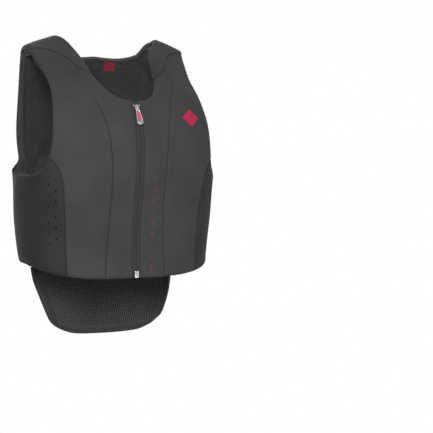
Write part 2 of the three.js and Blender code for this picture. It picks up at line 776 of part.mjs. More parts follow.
function frontFrame(drop) {
  const fall = -Math.sqrt(drop);
  const origin = place(0, fall, 0);
  const up = place(0, -Math.sqrt(drop - 2), 0).sub(place(0, -Math.sqrt(drop + 2), 0)).normalize();
  const out = new THREE.Vector3(1, 0, 0).cross(up);
  const basis = new THREE.Matrix4().makeBasis(new THREE.Vector3(1, 0, 0), up, out);
  return basis.setPosition(origin);
}

function buildZip() {
  const zipStart = zipTop.drop * bodyLength;
  const zipEnd = zipHem.drop * bodyLength;
  const sliderDrop = zipStart + sliderStart + sliderLength / 2;
  const boxDrop = zipEnd - boxInset - boxLength / 2;
  const steps = 12;
  const tapeTop = coilTop - coilWall / 2;
  for (const [end, side] of [['l', 1], ['r', -1]]) {
    const inner = side * (coilHalfWidth + zipClearance);
    const outer = side * (zipHalfWidth - 0.1);
    addPiece(`zip_tape_${end}`,
      frontStrip(inner, outer, zipStart + 2, zipEnd - 2, tapeTop, tapeWall, steps), 'tape');
    const stopPlace = side * (sliderWidth / 2 + zipClearance + stopSize.width / 2);
    const stopMiddle = tapeTop + zipClearance + stopSize.height / 2;
    const { width, length, height } = stopSize;
    const stop = box(width, length, height, stopPlace, sliderLength / 2, stopMiddle);
    add(`zip_stop_${end}`, geometryOf(stop).applyMatrix4(frontFrame(sliderDrop)), 'metal');
  }
  addPiece('zip_coil', frontStrip(-coilHalfWidth, coilHalfWidth, sliderDrop + 1.5,
    boxDrop - boxLength / 2 - zipClearance, coilTop, coilWall, steps), 'coil');

  const boxMiddle = tapeTop + zipClearance + boxHeight / 2;
  const bottomBox = box(2 * coilHalfWidth + boxSpread, boxLength, boxHeight, 0, 0, boxMiddle)
    .subtract(box(boxSlot.width, 2 * boxSlot.length, 2 * boxHeight, 0, boxLength / 2, boxMiddle));
  add('zip_box', geometryOf(bottomBox).applyMatrix4(frontFrame(boxDrop)), 'metal');

  const frame = frontFrame(sliderDrop);
  const plateFloor = coilTop + zipClearance;
  const plateTop = plateFloor + plateWall;
  const bridgeSpan = sliderLength - 1.5;
  const arch = box(bridgeWidth, bridgeSpan, bridgeRise, 0, 0, plateTop + bridgeRise / 2)
    .subtract(box(bridgeWidth + 2, bridgeSpan - 2 * bridgeWall, 2 * (bridgeRise - bridgeWall),
      0, 0, plateTop));
  const slider = wasm.Manifold.union([
    box(sliderWidth, sliderLength, plateWall, 0, 0, plateFloor + plateWall / 2),
    arch,
  ]);
  add('zip_slider', geometryOf(slider).applyMatrix4(frame), 'metal');

  const barHeight = plateTop + (bridgeRise - bridgeWall) / 2;
  const armPlace = bridgeWidth / 2 + 0.5 + armWidth / 2;
  const plateStart = bridgeSpan / 2 + pullerGap;
  const bar = solidFrom(
    new THREE.CylinderGeometry(barRadius, barRadius, 2 * armPlace + armWidth, 12).rotateZ(Math.PI / 2));
  // The puller's plate widens towards its free end. inset draws it in from its edge, rise
  // draws up its free end.
  const plate = (inset, wall, rise) => {
    const top = { radius: pullerTopWidth / 2 - inset, y: -plateStart - pullerTopWidth / 2 };
    const foot = {
      radius: pullerWidth / 2 - inset - 0.09 * rise,
      y: pullerWidth / 2 - pullerLength + rise,
    };
    const lean = Math.asin((foot.radius - top.radius) / (top.y - foot.y));
    const shape = new THREE.Shape();
    shape.absarc(0, top.y, top.radius, lean, Math.PI - lean, false);
    shape.absarc(0, foot.y, foot.radius, Math.PI - lean, 2 * Math.PI + lean, false);
    const options = { depth: wall, bevelEnabled: false, curveSegments: 12 };
    return solidFrom(new THREE.ExtrudeGeometry(shape, options).translate(0, 0, -wall / 2));
  };
  const rim = plate(0, pullerWall, 0).subtract(plate(pullerRim, 2 * pullerWall, pullerFoot));
  const armLength = plateStart + 1.2 * pullerRim;
  const arms = [-1, 1].map((side) =>
    box(armWidth, armLength, pullerWall, side * armPlace, -armLength / 2, 0));
  const puller = geometryOf(wasm.Manifold.union([bar, ...arms, rim]));
  add('zip_puller', puller.translate(0, 0, barHeight).applyMatrix4(frame), 'metal');

  const grip = geometryOf(plate(pullerRim + zipClearance, pullerWall, pullerFoot));
  add('puller_grip', grip.translate(0, 0, barHeight).applyMatrix4(frame), 'crimson');
}

for (const [end, lines] of Object.entries(sides)) {
  buildFront(end, lines);
  buildSide(end, lines, end === 'l' ? 1 : -1);
  buildShoulder(end, lines);
  buildBlade(end, lines);
  buildBackSide(end, lines);
}
buildBack();
buildLining();
buildZip();

export default model;
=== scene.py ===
"""Looks of the equestrian body protector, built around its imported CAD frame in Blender 4.5."""

import math

import bmesh
import bpy
import numpy as np
from mathutils import Matrix, Vector


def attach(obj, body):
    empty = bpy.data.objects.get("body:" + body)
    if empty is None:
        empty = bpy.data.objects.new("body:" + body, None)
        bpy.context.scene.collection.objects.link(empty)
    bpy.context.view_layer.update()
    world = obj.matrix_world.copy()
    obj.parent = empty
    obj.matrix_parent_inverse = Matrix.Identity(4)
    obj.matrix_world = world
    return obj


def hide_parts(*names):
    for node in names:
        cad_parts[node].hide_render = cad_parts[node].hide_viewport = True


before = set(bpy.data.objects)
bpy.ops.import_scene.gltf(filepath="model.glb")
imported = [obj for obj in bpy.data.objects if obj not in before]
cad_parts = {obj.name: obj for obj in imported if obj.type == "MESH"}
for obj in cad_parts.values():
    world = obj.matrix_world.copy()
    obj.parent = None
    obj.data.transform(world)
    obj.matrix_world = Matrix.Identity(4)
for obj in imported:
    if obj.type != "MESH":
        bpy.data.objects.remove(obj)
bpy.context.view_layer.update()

# Sizes in millimetres, as in the CAD part
HALF_WIDTH = 192
FRONT_DEPTH = 182
BACK_DEPTH = 94
BODY_LENGTH = 492
TAIL_LENGTH = 608
SHOULDER_DROOP = 51
CREST_FLAT = 8
PAD = 14
LINING_WALL = 2
LINING_SPACE = 2.9
FLAP_WALL = 7
FLAP_LIFT = 2
FLAP_CLEARANCE = 0.6
FLAP_ROWS = 9
FLAP_THIN_ROW = 3
TAB_ROW = 5
TAB_END = 0.995
SEAM_CLEARANCE = 0.3
LINING_CLEARANCE = 0.02
LINING_GAP = 0.4
STRAP_MIDDLE = 0.7 * HALF_WIDTH
HOLE_RADIUS = 1.8
BLADE_HOLE_RADIUS = 2.1
SIDE_HOLE_PITCH = 20.1
SIDE_HOLE_GROUP_GAP = 9.5
SPINE_HOLE_PITCH = 17.2
ZIP_HALF_WIDTH = 7.5
ZIP_SHARE = ZIP_HALF_WIDTH / HALF_WIDTH

# Sections down the body: drop, width, front, back and droop as shares of their sizes, and boxiness
SECTIONS = np.array([
    (0.0, 1.25, 0.0, 0.0, 1.0, 0.14),
    (0.0205, 1.218, 0.178, 0.306, 0.97, 0.14),
    (0.081, 1.154, 0.322, 0.492, 0.85, 0.15),
    (0.1834, 1.088, 0.584, 0.745, 0.55, 0.16),
    (0.3053, 1.043, 0.851, 0.962, 0.2, 0.21),
    (0.4468, 1.03, 0.998, 1.04, 0.0, 0.23),
    (0.6097, 1.024, 0.978, 0.935, 0.0, 0.17),
    (0.7726, 1.015, 0.868, 0.88, 0.0, 0.14),
    (0.9309, 0.974, 0.812, 0.8, 0.0, 0.14),
    (1.0985, 0.893, 0.815, 0.45, 0.0, 0.14),
    (1.2567, 0.817, 0.82, 0.35, 0.0, 0.14),
])
ROOTS = np.sqrt(SECTIONS[:, 0])
ROOT_GAPS = np.diff(ROOTS)
WIDTH, FRONT, BACK, DROOP, BOXY = range(1, 6)
LENGTH_ROOT = math.sqrt(BODY_LENGTH)

# Named places on the form and the outlines of the pads, as in the CAD part
NECK_FLAP_BACK = {"drop": 0.0698, "across": 0.45, "back": True}
NECK_FLAP_FRONT = {"drop": 0.206, "across": 0.352}
ARM_FLAP_BACK = {"drop": 0.1955, "turn": 0.515, "back": True}
ARM_FLAP_FRONT = {"drop": 0.03, "turn": 0.439}
PRINCESS_TOP = {"drop": 0.17, "across": 0.468}
PRINCESS_HEM = {"drop": 0.9998, "across": 0.314}
SIDE_SEAM_TOP = {"drop": 0.592, "turn": 1}
SIDE_SEAM_HEM = {"drop": 0.9234, "turn": 1}
UNDERARM_TOP = {"drop": 0.539, "turn": 0.575}
UNDERARM_HEM = {"drop": 0.9867, "turn": 0.456}
ZIP_TOP = {"drop": 0.3202, "across": ZIP_SHARE}
ZIP_HEM = {"drop": 1.0002, "across": ZIP_SHARE}
BLADE_TOP = {"drop": 0.0838, "across": 0.51, "back": True}
BLADE_OUTER = {"drop": 0.1741, "across": 0.728, "back": True}
BLADE_INNER = {"drop": 0.2048, "across": 0.255, "back": True}
BLADE_FOOT = {"drop": 0.3007, "across": 0.493, "back": True}
WAIST_SEAM = {"drop": 0.9421, "across": 0.423, "back": True}
TAIL_NOTCH = {"drop": 0.957, "across": 0.778, "back": True}
TAIL_CORNER = {"drop": 1.192, "across": 0.563, "back": True}
OUTLINES = {
    "neckBack": [{"drop": 0.0987, "across": 0, "back": True},
        {"drop": 0.1015, "across": 0.128, "back": True},
        {"drop": 0.0987, "across": 0.256, "back": True},
        {"drop": 0.0856, "across": 0.374, "back": True}, NECK_FLAP_BACK],
    "neckShoulder": [NECK_FLAP_BACK, {"drop": 0.0484, "across": 0.485, "back": True},
        {"drop": 0.0223, "across": 0.515, "back": True}, {"drop": 0.0, "across": 0.535},
        {"drop": 0.0195, "across": 0.512}, {"drop": 0.0586, "across": 0.452},
        {"drop": 0.1192, "across": 0.398}, NECK_FLAP_FRONT],
    "neckFront": [NECK_FLAP_FRONT, {"drop": 0.2565, "across": 0.289},
        {"drop": 0.2995, "across": 0.199}, {"drop": 0.3175, "across": 0.105}, ZIP_TOP],
    "armShoulder": [ARM_FLAP_BACK, {"drop": 0.134, "turn": 0.495, "back": True},
        {"drop": 0.0931, "turn": 0.479, "back": True}, {"drop": 0.0568, "turn": 0.463, "back": True},
        {"drop": 0.0251, "turn": 0.444, "back": True}, {"drop": 0.0, "turn": 0.431}, ARM_FLAP_FRONT],
    "armFront": [ARM_FLAP_FRONT, {"drop": 0.058, "turn": 0.447}, {"drop": 0.0931, "turn": 0.45},
        {"drop": 0.1424, "turn": 0.449}, {"drop": 0.2011, "turn": 0.453},
        {"drop": 0.2755, "turn": 0.475}, {"drop": 0.3724, "turn": 0.507},
        {"drop": 0.4673, "turn": 0.536}, UNDERARM_TOP],
    "underarmFront": [UNDERARM_TOP, {"drop": 0.5576, "turn": 0.595}, {"drop": 0.5855, "turn": 0.664},
        {"drop": 0.5976, "turn": 0.765}, {"drop": 0.5986, "turn": 0.891}, SIDE_SEAM_TOP],
    "armBack": [ARM_FLAP_BACK, {"drop": 0.27, "turn": 0.526, "back": True},
        {"drop": 0.3621, "turn": 0.54, "back": True}, {"drop": 0.4794, "turn": 0.544, "back": True},
        {"drop": 0.5148, "turn": 0.542, "back": True}, {"drop": 0.5334, "turn": 0.546, "back": True},
        {"drop": 0.5492, "turn": 0.577, "back": True}, {"drop": 0.5725, "turn": 0.624, "back": True},
        {"drop": 0.5939, "turn": 0.693, "back": True}, {"drop": 0.6004, "turn": 0.8, "back": True},
        {**SIDE_SEAM_TOP, "back": True}],
    "flapEdgeInner": [NECK_FLAP_FRONT, {"drop": 0.194, "across": 0.394}, PRINCESS_TOP],
    "flapEdgeOuter": [PRINCESS_TOP, {"drop": 0.115, "across": 0.548}, {"drop": 0.063, "across": 0.68},
        ARM_FLAP_FRONT],
    "princess": [PRINCESS_TOP, {"drop": 0.21, "across": 0.482}, {"drop": 0.256, "across": 0.463},
        {"drop": 0.3137, "across": 0.401}, {"drop": 0.4329, "across": 0.321},
        {"drop": 0.5781, "across": 0.285}, {"drop": 0.7633, "across": 0.282}, PRINCESS_HEM],
    "underarmSeam": [UNDERARM_TOP, {"drop": 0.56, "turn": 0.53}, {"drop": 0.592, "turn": 0.488},
        {"drop": 0.645, "turn": 0.462}, {"drop": 0.72, "turn": 0.449}, {"drop": 0.82, "turn": 0.444},
        UNDERARM_HEM],
    "zip": [ZIP_TOP, {"drop": 0.4189, "across": ZIP_SHARE}, {"drop": 0.5772, "across": ZIP_SHARE},
        {"drop": 0.7447, "across": ZIP_SHARE}, ZIP_HEM],
    "sideSeamFront": [SIDE_SEAM_TOP, {"drop": 0.7633, "turn": 1}, SIDE_SEAM_HEM],
    "sideSeamBack": [{**SIDE_SEAM_TOP, "back": True}, {"drop": 0.7633, "turn": 1, "back": True},
        {**SIDE_SEAM_HEM, "back": True}],
    "hemCentre": [ZIP_HEM, {"drop": 1.0002, "across": 0.17}, PRINCESS_HEM],
    "hemFront": [PRINCESS_HEM, {"drop": 0.9951, "turn": 0.33}, UNDERARM_HEM],
    "hemSide": [UNDERARM_HEM, {"drop": 0.9737, "turn": 0.6}, {"drop": 0.9514, "turn": 0.8},
        SIDE_SEAM_HEM],
    "hemBack": [TAIL_NOTCH, {"drop": 0.9467, "turn": 0.61, "back": True},
        {"drop": 0.9346, "turn": 0.79, "back": True}, {**SIDE_SEAM_HEM, "back": True}],
    "bladeUpperOuter": [BLADE_TOP, {"drop": 0.1247, "across": 0.621, "back": True}, BLADE_OUTER],
    "bladeUpperInner": [BLADE_TOP, {"drop": 0.1489, "across": 0.368, "back": True}, BLADE_INNER],
    "bladeLowerInner": [BLADE_INNER, {"drop": 0.2523, "across": 0.378, "back": True}, BLADE_FOOT],
    "bladeLowerOuter": [BLADE_OUTER, {"drop": 0.2364, "across": 0.612, "back": True}, BLADE_FOOT],
    "yokeEnd": [NECK_FLAP_BACK, BLADE_TOP],
    "flapBackEnd": [BLADE_OUTER, {"drop": 0.1852, "across": 0.788, "back": True}, ARM_FLAP_BACK],
    "yokeFoot": [{"drop": 0.2104, "across": 0, "back": True},
        {"drop": 0.2095, "across": 0.13, "back": True}, BLADE_INNER],
    "spineSeam": [BLADE_FOOT, {"drop": 0.3835, "across": 0.438, "back": True},
        {"drop": 0.5083, "across": 0.383, "back": True},
        {"drop": 0.6321, "across": 0.35, "back": True}, {"drop": 0.755, "across": 0.338, "back": True},
        {"drop": 0.8695, "across": 0.347, "back": True}, WAIST_SEAM],
    "waistInner": [{"drop": 0.9467, "across": 0, "back": True},
        {"drop": 0.9458, "across": 0.2, "back": True}, WAIST_SEAM],
    "waistOuter": [WAIST_SEAM, {"drop": 0.9439, "across": 0.585, "back": True}, TAIL_NOTCH],
    "tailSide": [TAIL_NOTCH, {"drop": 1.01, "across": 0.776, "back": True},
        {"drop": 1.06, "across": 0.742, "back": True}, {"drop": 1.12, "across": 0.687, "back": True},
        {"drop": 1.165, "across": 0.634, "back": True}, TAIL_CORNER],
}

# The tail's rounded foot: how far it reaches from its corner to its end, and how far across it is
TAIL_EDGE = [(1.0, 0), (0.95, 0.22), (0.82, 0.36), (0.6, 0.438), (0.3, 0.514)]

# Columns of holes: where they stand, the drop of the first hole, and how many there are
SIDE_HOLES = [
    {"turn": 0.515, "first": 0.621, "count": 6},
    {"turn": 0.575, "first": 0.639, "count": 6},
    {"turn": 0.641, "first": 0.652, "count": 6},
    {"turn": 0.769, "first": 0.672, "count": 6},
    {"turn": 0.87, "first": 0.689, "count": 5},
]
BLADE_HOLES_ACROSS = (0.24, 0.52, 0.79)
BLADE_HOLES_DOWN = (0.3, 0.68)
SPINE_HOLES = [
    {"across": 0.229, "first": 0.3426, "count": 10, "pitch": SPINE_HOLE_PITCH},
    {"across": 0.15, "first": 0.3938, "count": 5, "pitch": 2 * SPINE_HOLE_PITCH},
    {"across": 0.073, "first": 0.7801, "count": 5, "pitch": 0.9 * SPINE_HOLE_PITCH},
    {"across": 0.15, "first": 0.7968, "count": 3, "pitch": 1.8 * SPINE_HOLE_PITCH},
    {"across": 0.22, "first": 0.7801, "count": 1, "pitch": SPINE_HOLE_PITCH},
]


def section_value(column, root):
    """Smooth value of one column of the sections at the square root of a drop."""
    values = SECTIONS[:, column]
    slopes = np.diff(values) / ROOT_GAPS
    inner = (slopes[:-1] * ROOT_GAPS[1:] + slopes[1:] * ROOT_GAPS[:-1]) / (ROOT_GAPS[1:] + ROOT_GAPS[:-1])
    tangents = np.concatenate([slopes[:1], inner, slopes[-1:]])
    at = np.clip(root, 0, ROOTS[-1])
    row = np.clip(np.searchsorted(ROOTS, at) - 1, 0, len(ROOT_GAPS) - 1)
    step = ROOT_GAPS[row]
    t = (at - ROOTS[row]) / step
    rise = 3 * t ** 2 - 2 * t ** 3
    leave = (t ** 3 - 2 * t ** 2 + t) * step * tangents[row]
    arrive = (t ** 3 - t ** 2) * step * tangents[row + 1]
    return (1 - rise) * values[row] + rise * values[row + 1] + leave + arrive


def swell(turn, root):
    """How far across and how deep a section stands at a turn."""
    angle = turn * math.pi / 2
    boxy = section_value(BOXY, root)
    across = np.sin(angle) * (1 + boxy * np.cos(angle) ** 2)
    depth = np.cos(angle) * (1 + boxy * np.sin(angle) ** 2)
    return across, depth


def form_point(turn, fall):
    """The outer form: turn runs round the body, fall is the signed root of the drop."""
    root = np.abs(fall) / LENGTH_ROOT
    front = -FRONT_DEPTH * section_value(FRONT, root)
    back = BACK_DEPTH * section_value(BACK, root)
    across, depth = swell(turn, root)
    x = HALF_WIDTH * section_value(WIDTH, root) * across
    side = np.where(fall < 0, -1, 1)
    y = (back + front) / 2 + side * depth * (back - front) / 2
    droop = SHOULDER_DROOP * section_value(DROOP, root) * (x / HALF_WIDTH) ** 2
    return np.stack([x, y, -np.hypot(fall ** 2, CREST_FLAT) - droop], axis=-1)


# How turn_across closes in on a turn: its first guess and share of each miss that it makes good
FIRST_GUESS = 0.6
GUESS_SHARE = 0.55
GUESSES = 40


def turn_across(x, fall):
    """The turn at which a section stands at a given x."""
    root = np.abs(fall) / LENGTH_ROOT
    width = HALF_WIDTH * section_value(WIDTH, root)
    turn = x / width * FIRST_GUESS
    for _ in range(GUESSES):
        turn = turn + (x / width - swell(turn, root)[0]) * GUESS_SHARE
    return turn


STRAP_TOP = form_point(turn_across(STRAP_MIDDLE, np.float64(0)), np.float64(0))[2]
SEAT_HEIGHT = PAD + LINING_SPACE + LINING_WALL - STRAP_TOP


# Steps to each side of a place, over which the form's normal is taken
TURN_STEP = 0.002
FALL_STEP = 0.03


def place(turn, fall, lift=0.0):
    """A point on the form in the frame's millimetres, lifted along the outward normal."""
    along = form_point(turn + TURN_STEP, fall) - form_point(turn - TURN_STEP, fall)
    down = form_point(turn, fall + FALL_STEP) - form_point(turn, fall - FALL_STEP)
    normal = np.cross(along, down)
    normal /= np.linalg.norm(normal, axis=-1, keepdims=True)
    lifted = form_point(turn, fall) + normal * np.asarray(lift, float)[..., None]
    return lifted + np.array([0, 0, SEAT_HEIGHT])


def outline_places(rows, side):
    """Places on the form of an outline's rows, on one side of the vest."""
    places = []
    for row in rows:
        fall = (1 if row.get("back") else -1) * math.sqrt(row["drop"] * BODY_LENGTH)
        if "turn" in row:
            turn = row["turn"]
        else:
            turn = turn_across(row["across"] * HALF_WIDTH, np.float64(fall))
        places.append((side * turn, fall))
    return np.array(places)


# What a whole turn counts for beside the fall when a line is smoothed, and points between two rows
TURN_SCALE = 0.56 * LENGTH_ROOT
LINE_POINTS = 60


def smooth_line(places):
    """A smooth line through places, read by a share of its length (centripetal Catmull-Rom)."""
    points = places * [TURN_SCALE, 1]
    before = 2 * points[:1] - points[1:2]
    after = 2 * points[-1:] - points[-2:-1]
    chain = np.concatenate([before, points, after])
    stretch = np.maximum(np.sum(np.diff(chain, axis=0) ** 2, axis=1) ** 0.25, 1e-4)
    steps = np.linspace(0, 1, LINE_POINTS + 1)[:, None]
    pieces = []
    for i in range(len(points) - 1):
        a, b, c, d = chain[i:i + 4]
        first, middle, last = stretch[i:i + 3]
        leave = ((b - a) / first - (c - a) / (first + middle) + (c - b) / middle) * middle
        arrive = ((c - b) / middle - (d - b) / (middle + last) + (d - c) / last) * middle
        rise = 3 * steps ** 2 - 2 * steps ** 3
        bend = (steps ** 3 - 2 * steps ** 2 + steps) * leave + (steps ** 3 - steps ** 2) * arrive
        piece = (1 - rise) * b + rise * c + bend
        pieces.append(piece[:-1] if i < len(points) - 2 else piece)
    path = np.concatenate(pieces)
    length = np.concatenate([[0], np.cumsum(np.linalg.norm(np.diff(path, axis=0), axis=1))])
    share = length / length[-1]

    def line(t):
        turn = np.interp(t, share, path[:, 0]) / TURN_SCALE
        return np.stack([turn, np.interp(t, share, path[:, 1])], axis=-1)

    return line


def reverse(line):
    """The same line, read from its far end."""
    return lambda t: line(1 - np.asarray(t, float))


def joined(lines, counts):
    """Several lines end to end, sharing the whole as counts say."""
    ends = np.cumsum([0] + list(counts)) / sum(counts)

    def line(t):
        t = np.clip(np.asarray(t, float), 0, 1)
        whole = lines[0](np.clip(t / ends[1], 0, 1))
        for i in range(1, len(lines)):
            part = lines[i](np.clip((t - ends[i]) / (ends[i + 1] - ends[i]), 0, 1))
            whole = np.where((t >= ends[i])[..., None], part, whole)
        return whole

    return line


def patch_of(head, foot, near, far):
    """A patch of the form between four lines: head and foot run across it, near and far down."""

    def patch(u, v):
        a, b = u[..., None], v[..., None]
        level = (1 - b) * head(u) + b * foot(u)
        upright = (1 - a) * near(v) + a * far(v)
        top = (1 - a) * head(0.0) + a * head(1.0)
        low = (1 - a) * foot(0.0) + a * foot(1.0)
        return level + upright - (1 - b) * top - b * low

    return patch


def side_lines(side):
    """The smooth outlines on one side of the vest, with the tail's rounded foot."""
    lines = {}
    for name, rows in OUTLINES.items():
        lines[name] = smooth_line(outline_places(rows, side))
    corner = TAIL_CORNER["drop"] * BODY_LENGTH
    rows = []
    for reach, across in TAIL_EDGE:
        drop = (corner + reach * (TAIL_LENGTH - corner)) / BODY_LENGTH
        rows.append({"drop": drop, "across": across, "back": True})
    lines["tailFoot"] = smooth_line(outline_places(rows + [TAIL_CORNER], side))
    return lines


SIGNS = {"l": 1, "r": -1}
SIDES = {end: side_lines(side) for end, side in SIGNS.items()}


def crossed(name):
    """A line that crosses the vest from its right side to its left."""
    return joined([reverse(SIDES["r"][name]), SIDES["l"][name]], [1, 1])


# Slow swells of the pads: wavelengths in metres across and down, phase, and height in mm, with
# the radius in metres that they run round and the y in mm of its middle
SWELLS = [(0.19, 0.26, 0.6, 0.9), (0.11, 0.17, 2.1, 0.5), (0.075, -0.12, 4.0, 0.3)]
SWELL_RADIUS = 0.17
SWELL_MIDDLE = -40

# Creases: front or back of the vest, ends as (x, drop) in mm, width and depth in mm
CREASES = [
    ("back", (58, 476), (112, 470), 5.0, 2.2),
    ("back", (52, 490), (100, 487), 4.5, 2.0),
    ("back", (60, 503), (92, 502), 4.0, 1.4),
    ("back", (66, 461), (96, 452), 4.5, 1.2),
    ("back", (-44, 482), (-70, 440), 6.0, 2.4),
    ("back", (-66, 500), (-112, 462), 6.5, 3.2),
    ("back", (-78, 522), (-122, 486), 6.0, 3.2),
    ("back", (-88, 545), (-122, 512), 5.5, 2.6),
    ("back", (-60, 470), (-64, 500), 4.5, 2.0),
    ("back", (-24, 478), (-50, 462), 5.0, 1.3),
    ("front", (-128, 430), (-96, 436), 9.0, 0.8),
    ("front", (120, 420), (150, 400), 10.0, 1.0),
]

# The ridge below a crease, as shares of the crease's depth and width, and how its ends fade
RIDGE_HEIGHT = 0.75
RIDGE_OFFSET = 1.7
RIDGE_WIDTH = 1.3
CREASE_FADE = 0.7


def surface_lift(points):
    """Height of the swells and creases at points of the form, in millimetres."""
    x, y, z = points[..., 0], points[..., 1], points[..., 2]
    around = np.arctan2(x, SWELL_MIDDLE - y) * SWELL_RADIUS
    lift = np.zeros_like(x)
    for across, down, phase, height in SWELLS:
        lift += height * np.sin(2 * math.pi * (around / across + z / 1000 / down) + phase)
    level = SEAT_HEIGHT - z
    for side, start, end, width, depth in CREASES:
        line = np.subtract(end, start)
        length = math.hypot(*line)
        along = ((x - start[0]) * line[0] + (level - start[1]) * line[1]) / length ** 2
        off = (-(x - start[0]) * line[1] + (level - start[1]) * line[0]) / length
        fade = np.clip(1 - (2 * along - 1) ** 2, 0, 1) ** CREASE_FADE
        on_side = np.where((y < SWELL_MIDDLE) == (side == "front"), 1.0, 0.0)
        ridge = np.exp(-((off - RIDGE_OFFSET * width) / (RIDGE_WIDTH * width)) ** 2)
        valley = np.exp(-(off / width) ** 2) - RIDGE_HEIGHT * ridge
        lift -= depth * valley * fade * on_side
    return lift


# Edges of the pads: the width that is drawn in and its depth, in mm
SEAM = {"width": 5.0, "depth": 1.9}
RIM = {"width": 7.5, "depth": 6.4}
HEM = {"width": 6.0, "depth": 4.6}
FLAP_END = {"width": 3.5, "depth": 2.4}
TAB_RIM = {"width": 2.5, "depth": 1.2}
ZIP_EDGE = {"width": 3.5, "depth": 2.6}
LINING_EDGE = {"width": 2.0, "depth": 0.5}
ALL_SEAMS = {"head": SEAM, "foot": SEAM, "near": SEAM, "far": SEAM}


def eased(share):
    """A share from 0 to 1 that starts and ends gently."""
    return share * share * (3 - 2 * share)


def changing(change, before=RIM, after=SEAM, blend=0.03):
    """An edge that is one kind down to a share of its length and another from there on."""

    def value(key, t):
        step = eased(np.clip((t - change) / blend * 0.5 + 0.5, 0, 1))
        return before[key] * (1 - step) + after[key] * step

    return {"width": lambda t: value("width", t), "depth": lambda t: value("depth", t)}


def edge_value(edge, key, t):
    """An edge's width or depth at shares of its length."""
    return edge[key](t) if callable(edge[key]) else np.full_like(t, edge[key])


# Rows of points in a drawn-in edge
RIM_ROWS = 6


def stations(count, length, first, last):
    """Shares along a side of a pad, close together near its two edges."""
    close = 1 - np.cos(np.linspace(0, 1, RIM_ROWS) * math.pi / 2)
    start = close * first / length
    end = 1 - close[::-1] * last / length
    return np.concatenate([start, np.linspace(start[-1], end[0], count + 1)[1:-1], end])


def walk(points, axis):
    """Distance along the rows or columns of a grid of points."""
    steps = np.linalg.norm(np.diff(points, axis=axis), axis=-1)
    pad = [(0, 0), (0, 0)]
    pad[axis] = (1, 0)
    return np.cumsum(np.pad(steps, pad), axis=axis)


def close_in(distance, edge, t):
    """How far the cloth is drawn in at a distance from an edge."""
    width = edge_value(edge, "width", t)
    short = np.clip(1 - distance / width, 0, 1)
    return edge_value(edge, "depth", t) * (1 - np.sqrt(1 - short ** 2))


# Spacing of the points of a pad's mesh: plain pads, back and yoke, tail, blades, and tabs and linings
PAD_SPACING = 3.4
BACK_SPACING = 3.2
TAIL_SPACING = 2.8
BLADE_SPACING = 3
HIDDEN_SPACING = 5

# Thinnest wall of a pad, wall left between two rounded rims, and how far from an edge the swells
# are calmed, all in mm, and the number of points along which a pad is measured
THINNEST_WALL = 0.8
RIM_WALL = 0.4
CALM_REACH = 14
MEASURES = 40


def pad_mesh(name, patch, spacing, edges, outer=None, inner=None, both_round=True, swelling=1.0,
             clearance=SEAM_CLEARANCE):
    """A pad over a patch of the form, with rounded rims and drawn-in seams."""
    outer = outer or (lambda u, v: np.zeros_like(u))
    inner = inner or (lambda u, v: np.full_like(u, -PAD))
    middle = np.linspace(0, 1, MEASURES)
    half = np.full(MEASURES, 0.5)
    long_across = walk(place(*np.moveaxis(patch(middle, half), -1, 0))[None], 1)[0, -1]
    long_down = walk(place(*np.moveaxis(patch(half, middle), -1, 0))[None], 1)[0, -1]
    columns = max(2, round(long_across / spacing))
    rows = max(2, round(long_down / spacing))
    widest = {key: float(np.max(edge_value(edge, "width", middle))) for key, edge in edges.items()}
    shares_across = stations(columns, long_across, widest["near"], widest["far"])
    shares_down = stations(rows, long_down, widest["head"], widest["foot"])
    v, u = np.meshgrid(shares_down, shares_across, indexing="ij")
    flat = place(*np.moveaxis(patch(u, v), -1, 0))
    across, down = walk(flat, 1), walk(flat, 0)
    total_across, total_down = across[:, -1:], down[-1:, :]
    inset_u = clearance / total_across
    inset_v = clearance / total_down
    spots = patch(inset_u + (1 - 2 * inset_u) * u, inset_v + (1 - 2 * inset_v) * v)
    turn, fall = spots[..., 0], spots[..., 1]
    pulls = [
        close_in(across, edges["near"], v), close_in(total_across - across, edges["far"], v),
        close_in(down, edges["head"], u), close_in(total_down - down, edges["foot"], u),
    ]
    drawn = np.max(pulls, axis=0)
    inside = np.minimum.reduce([across, total_across - across, down, total_down - down])
    calm = eased(np.clip(inside / CALM_REACH, 0, 1))
    lift = outer(u, v) - drawn + swelling * calm * surface_lift(flat)
    floor = inner(u, v)
    if both_round:
        wall = outer(u, v) - floor
        floor = floor + np.minimum(drawn, np.maximum(wall / 2 - RIM_WALL, 0))
    lift = np.maximum(lift, floor + THINNEST_WALL)
    faces = {0: place(turn, fall, lift), 1: place(turn, fall, floor)}
    return grown_grid(name, faces, across, down)


def grown_grid(name, faces, across, down):
    """A grid grown into a wall, its two faces moved to the points in faces."""
    count_down, count_across = across.shape
    mesh = bmesh.new()
    bmesh.ops.create_grid(mesh, x_segments=count_across - 1, y_segments=count_down - 1, size=1)
    grown = bmesh.ops.extrude_face_region(mesh, geom=mesh.faces[:])
    for vert in grown["geom"]:
        if isinstance(vert, bmesh.types.BMVert):
            vert.co.z = -1
    size_x = max(vert.co.x for vert in mesh.verts)
    size_y = max(vert.co.y for vert in mesh.verts)
    cloth = mesh.verts.layers.float_vector.new("cloth")
    rim = mesh.verts.layers.float.new("rim")
    inside = np.minimum.reduce([across, across[:, -1:] - across, down, down[-1:, :] - down])
    for vert in mesh.verts:
        i = round((vert.co.x / size_x + 1) / 2 * (count_across - 1))
        j = round((1 - vert.co.y / size_y) / 2 * (count_down - 1))
        layer = 1 if vert.co.z < -0.5 else 0
        vert[cloth] = (across[j, i] / 1000, down[j, i] / 1000, layer)
        vert[rim] = inside[j, i] / 1000
        vert.co = faces[layer][j, i] / 1000
    return finished(name, mesh)


SHARP_ANGLE = math.radians(50)


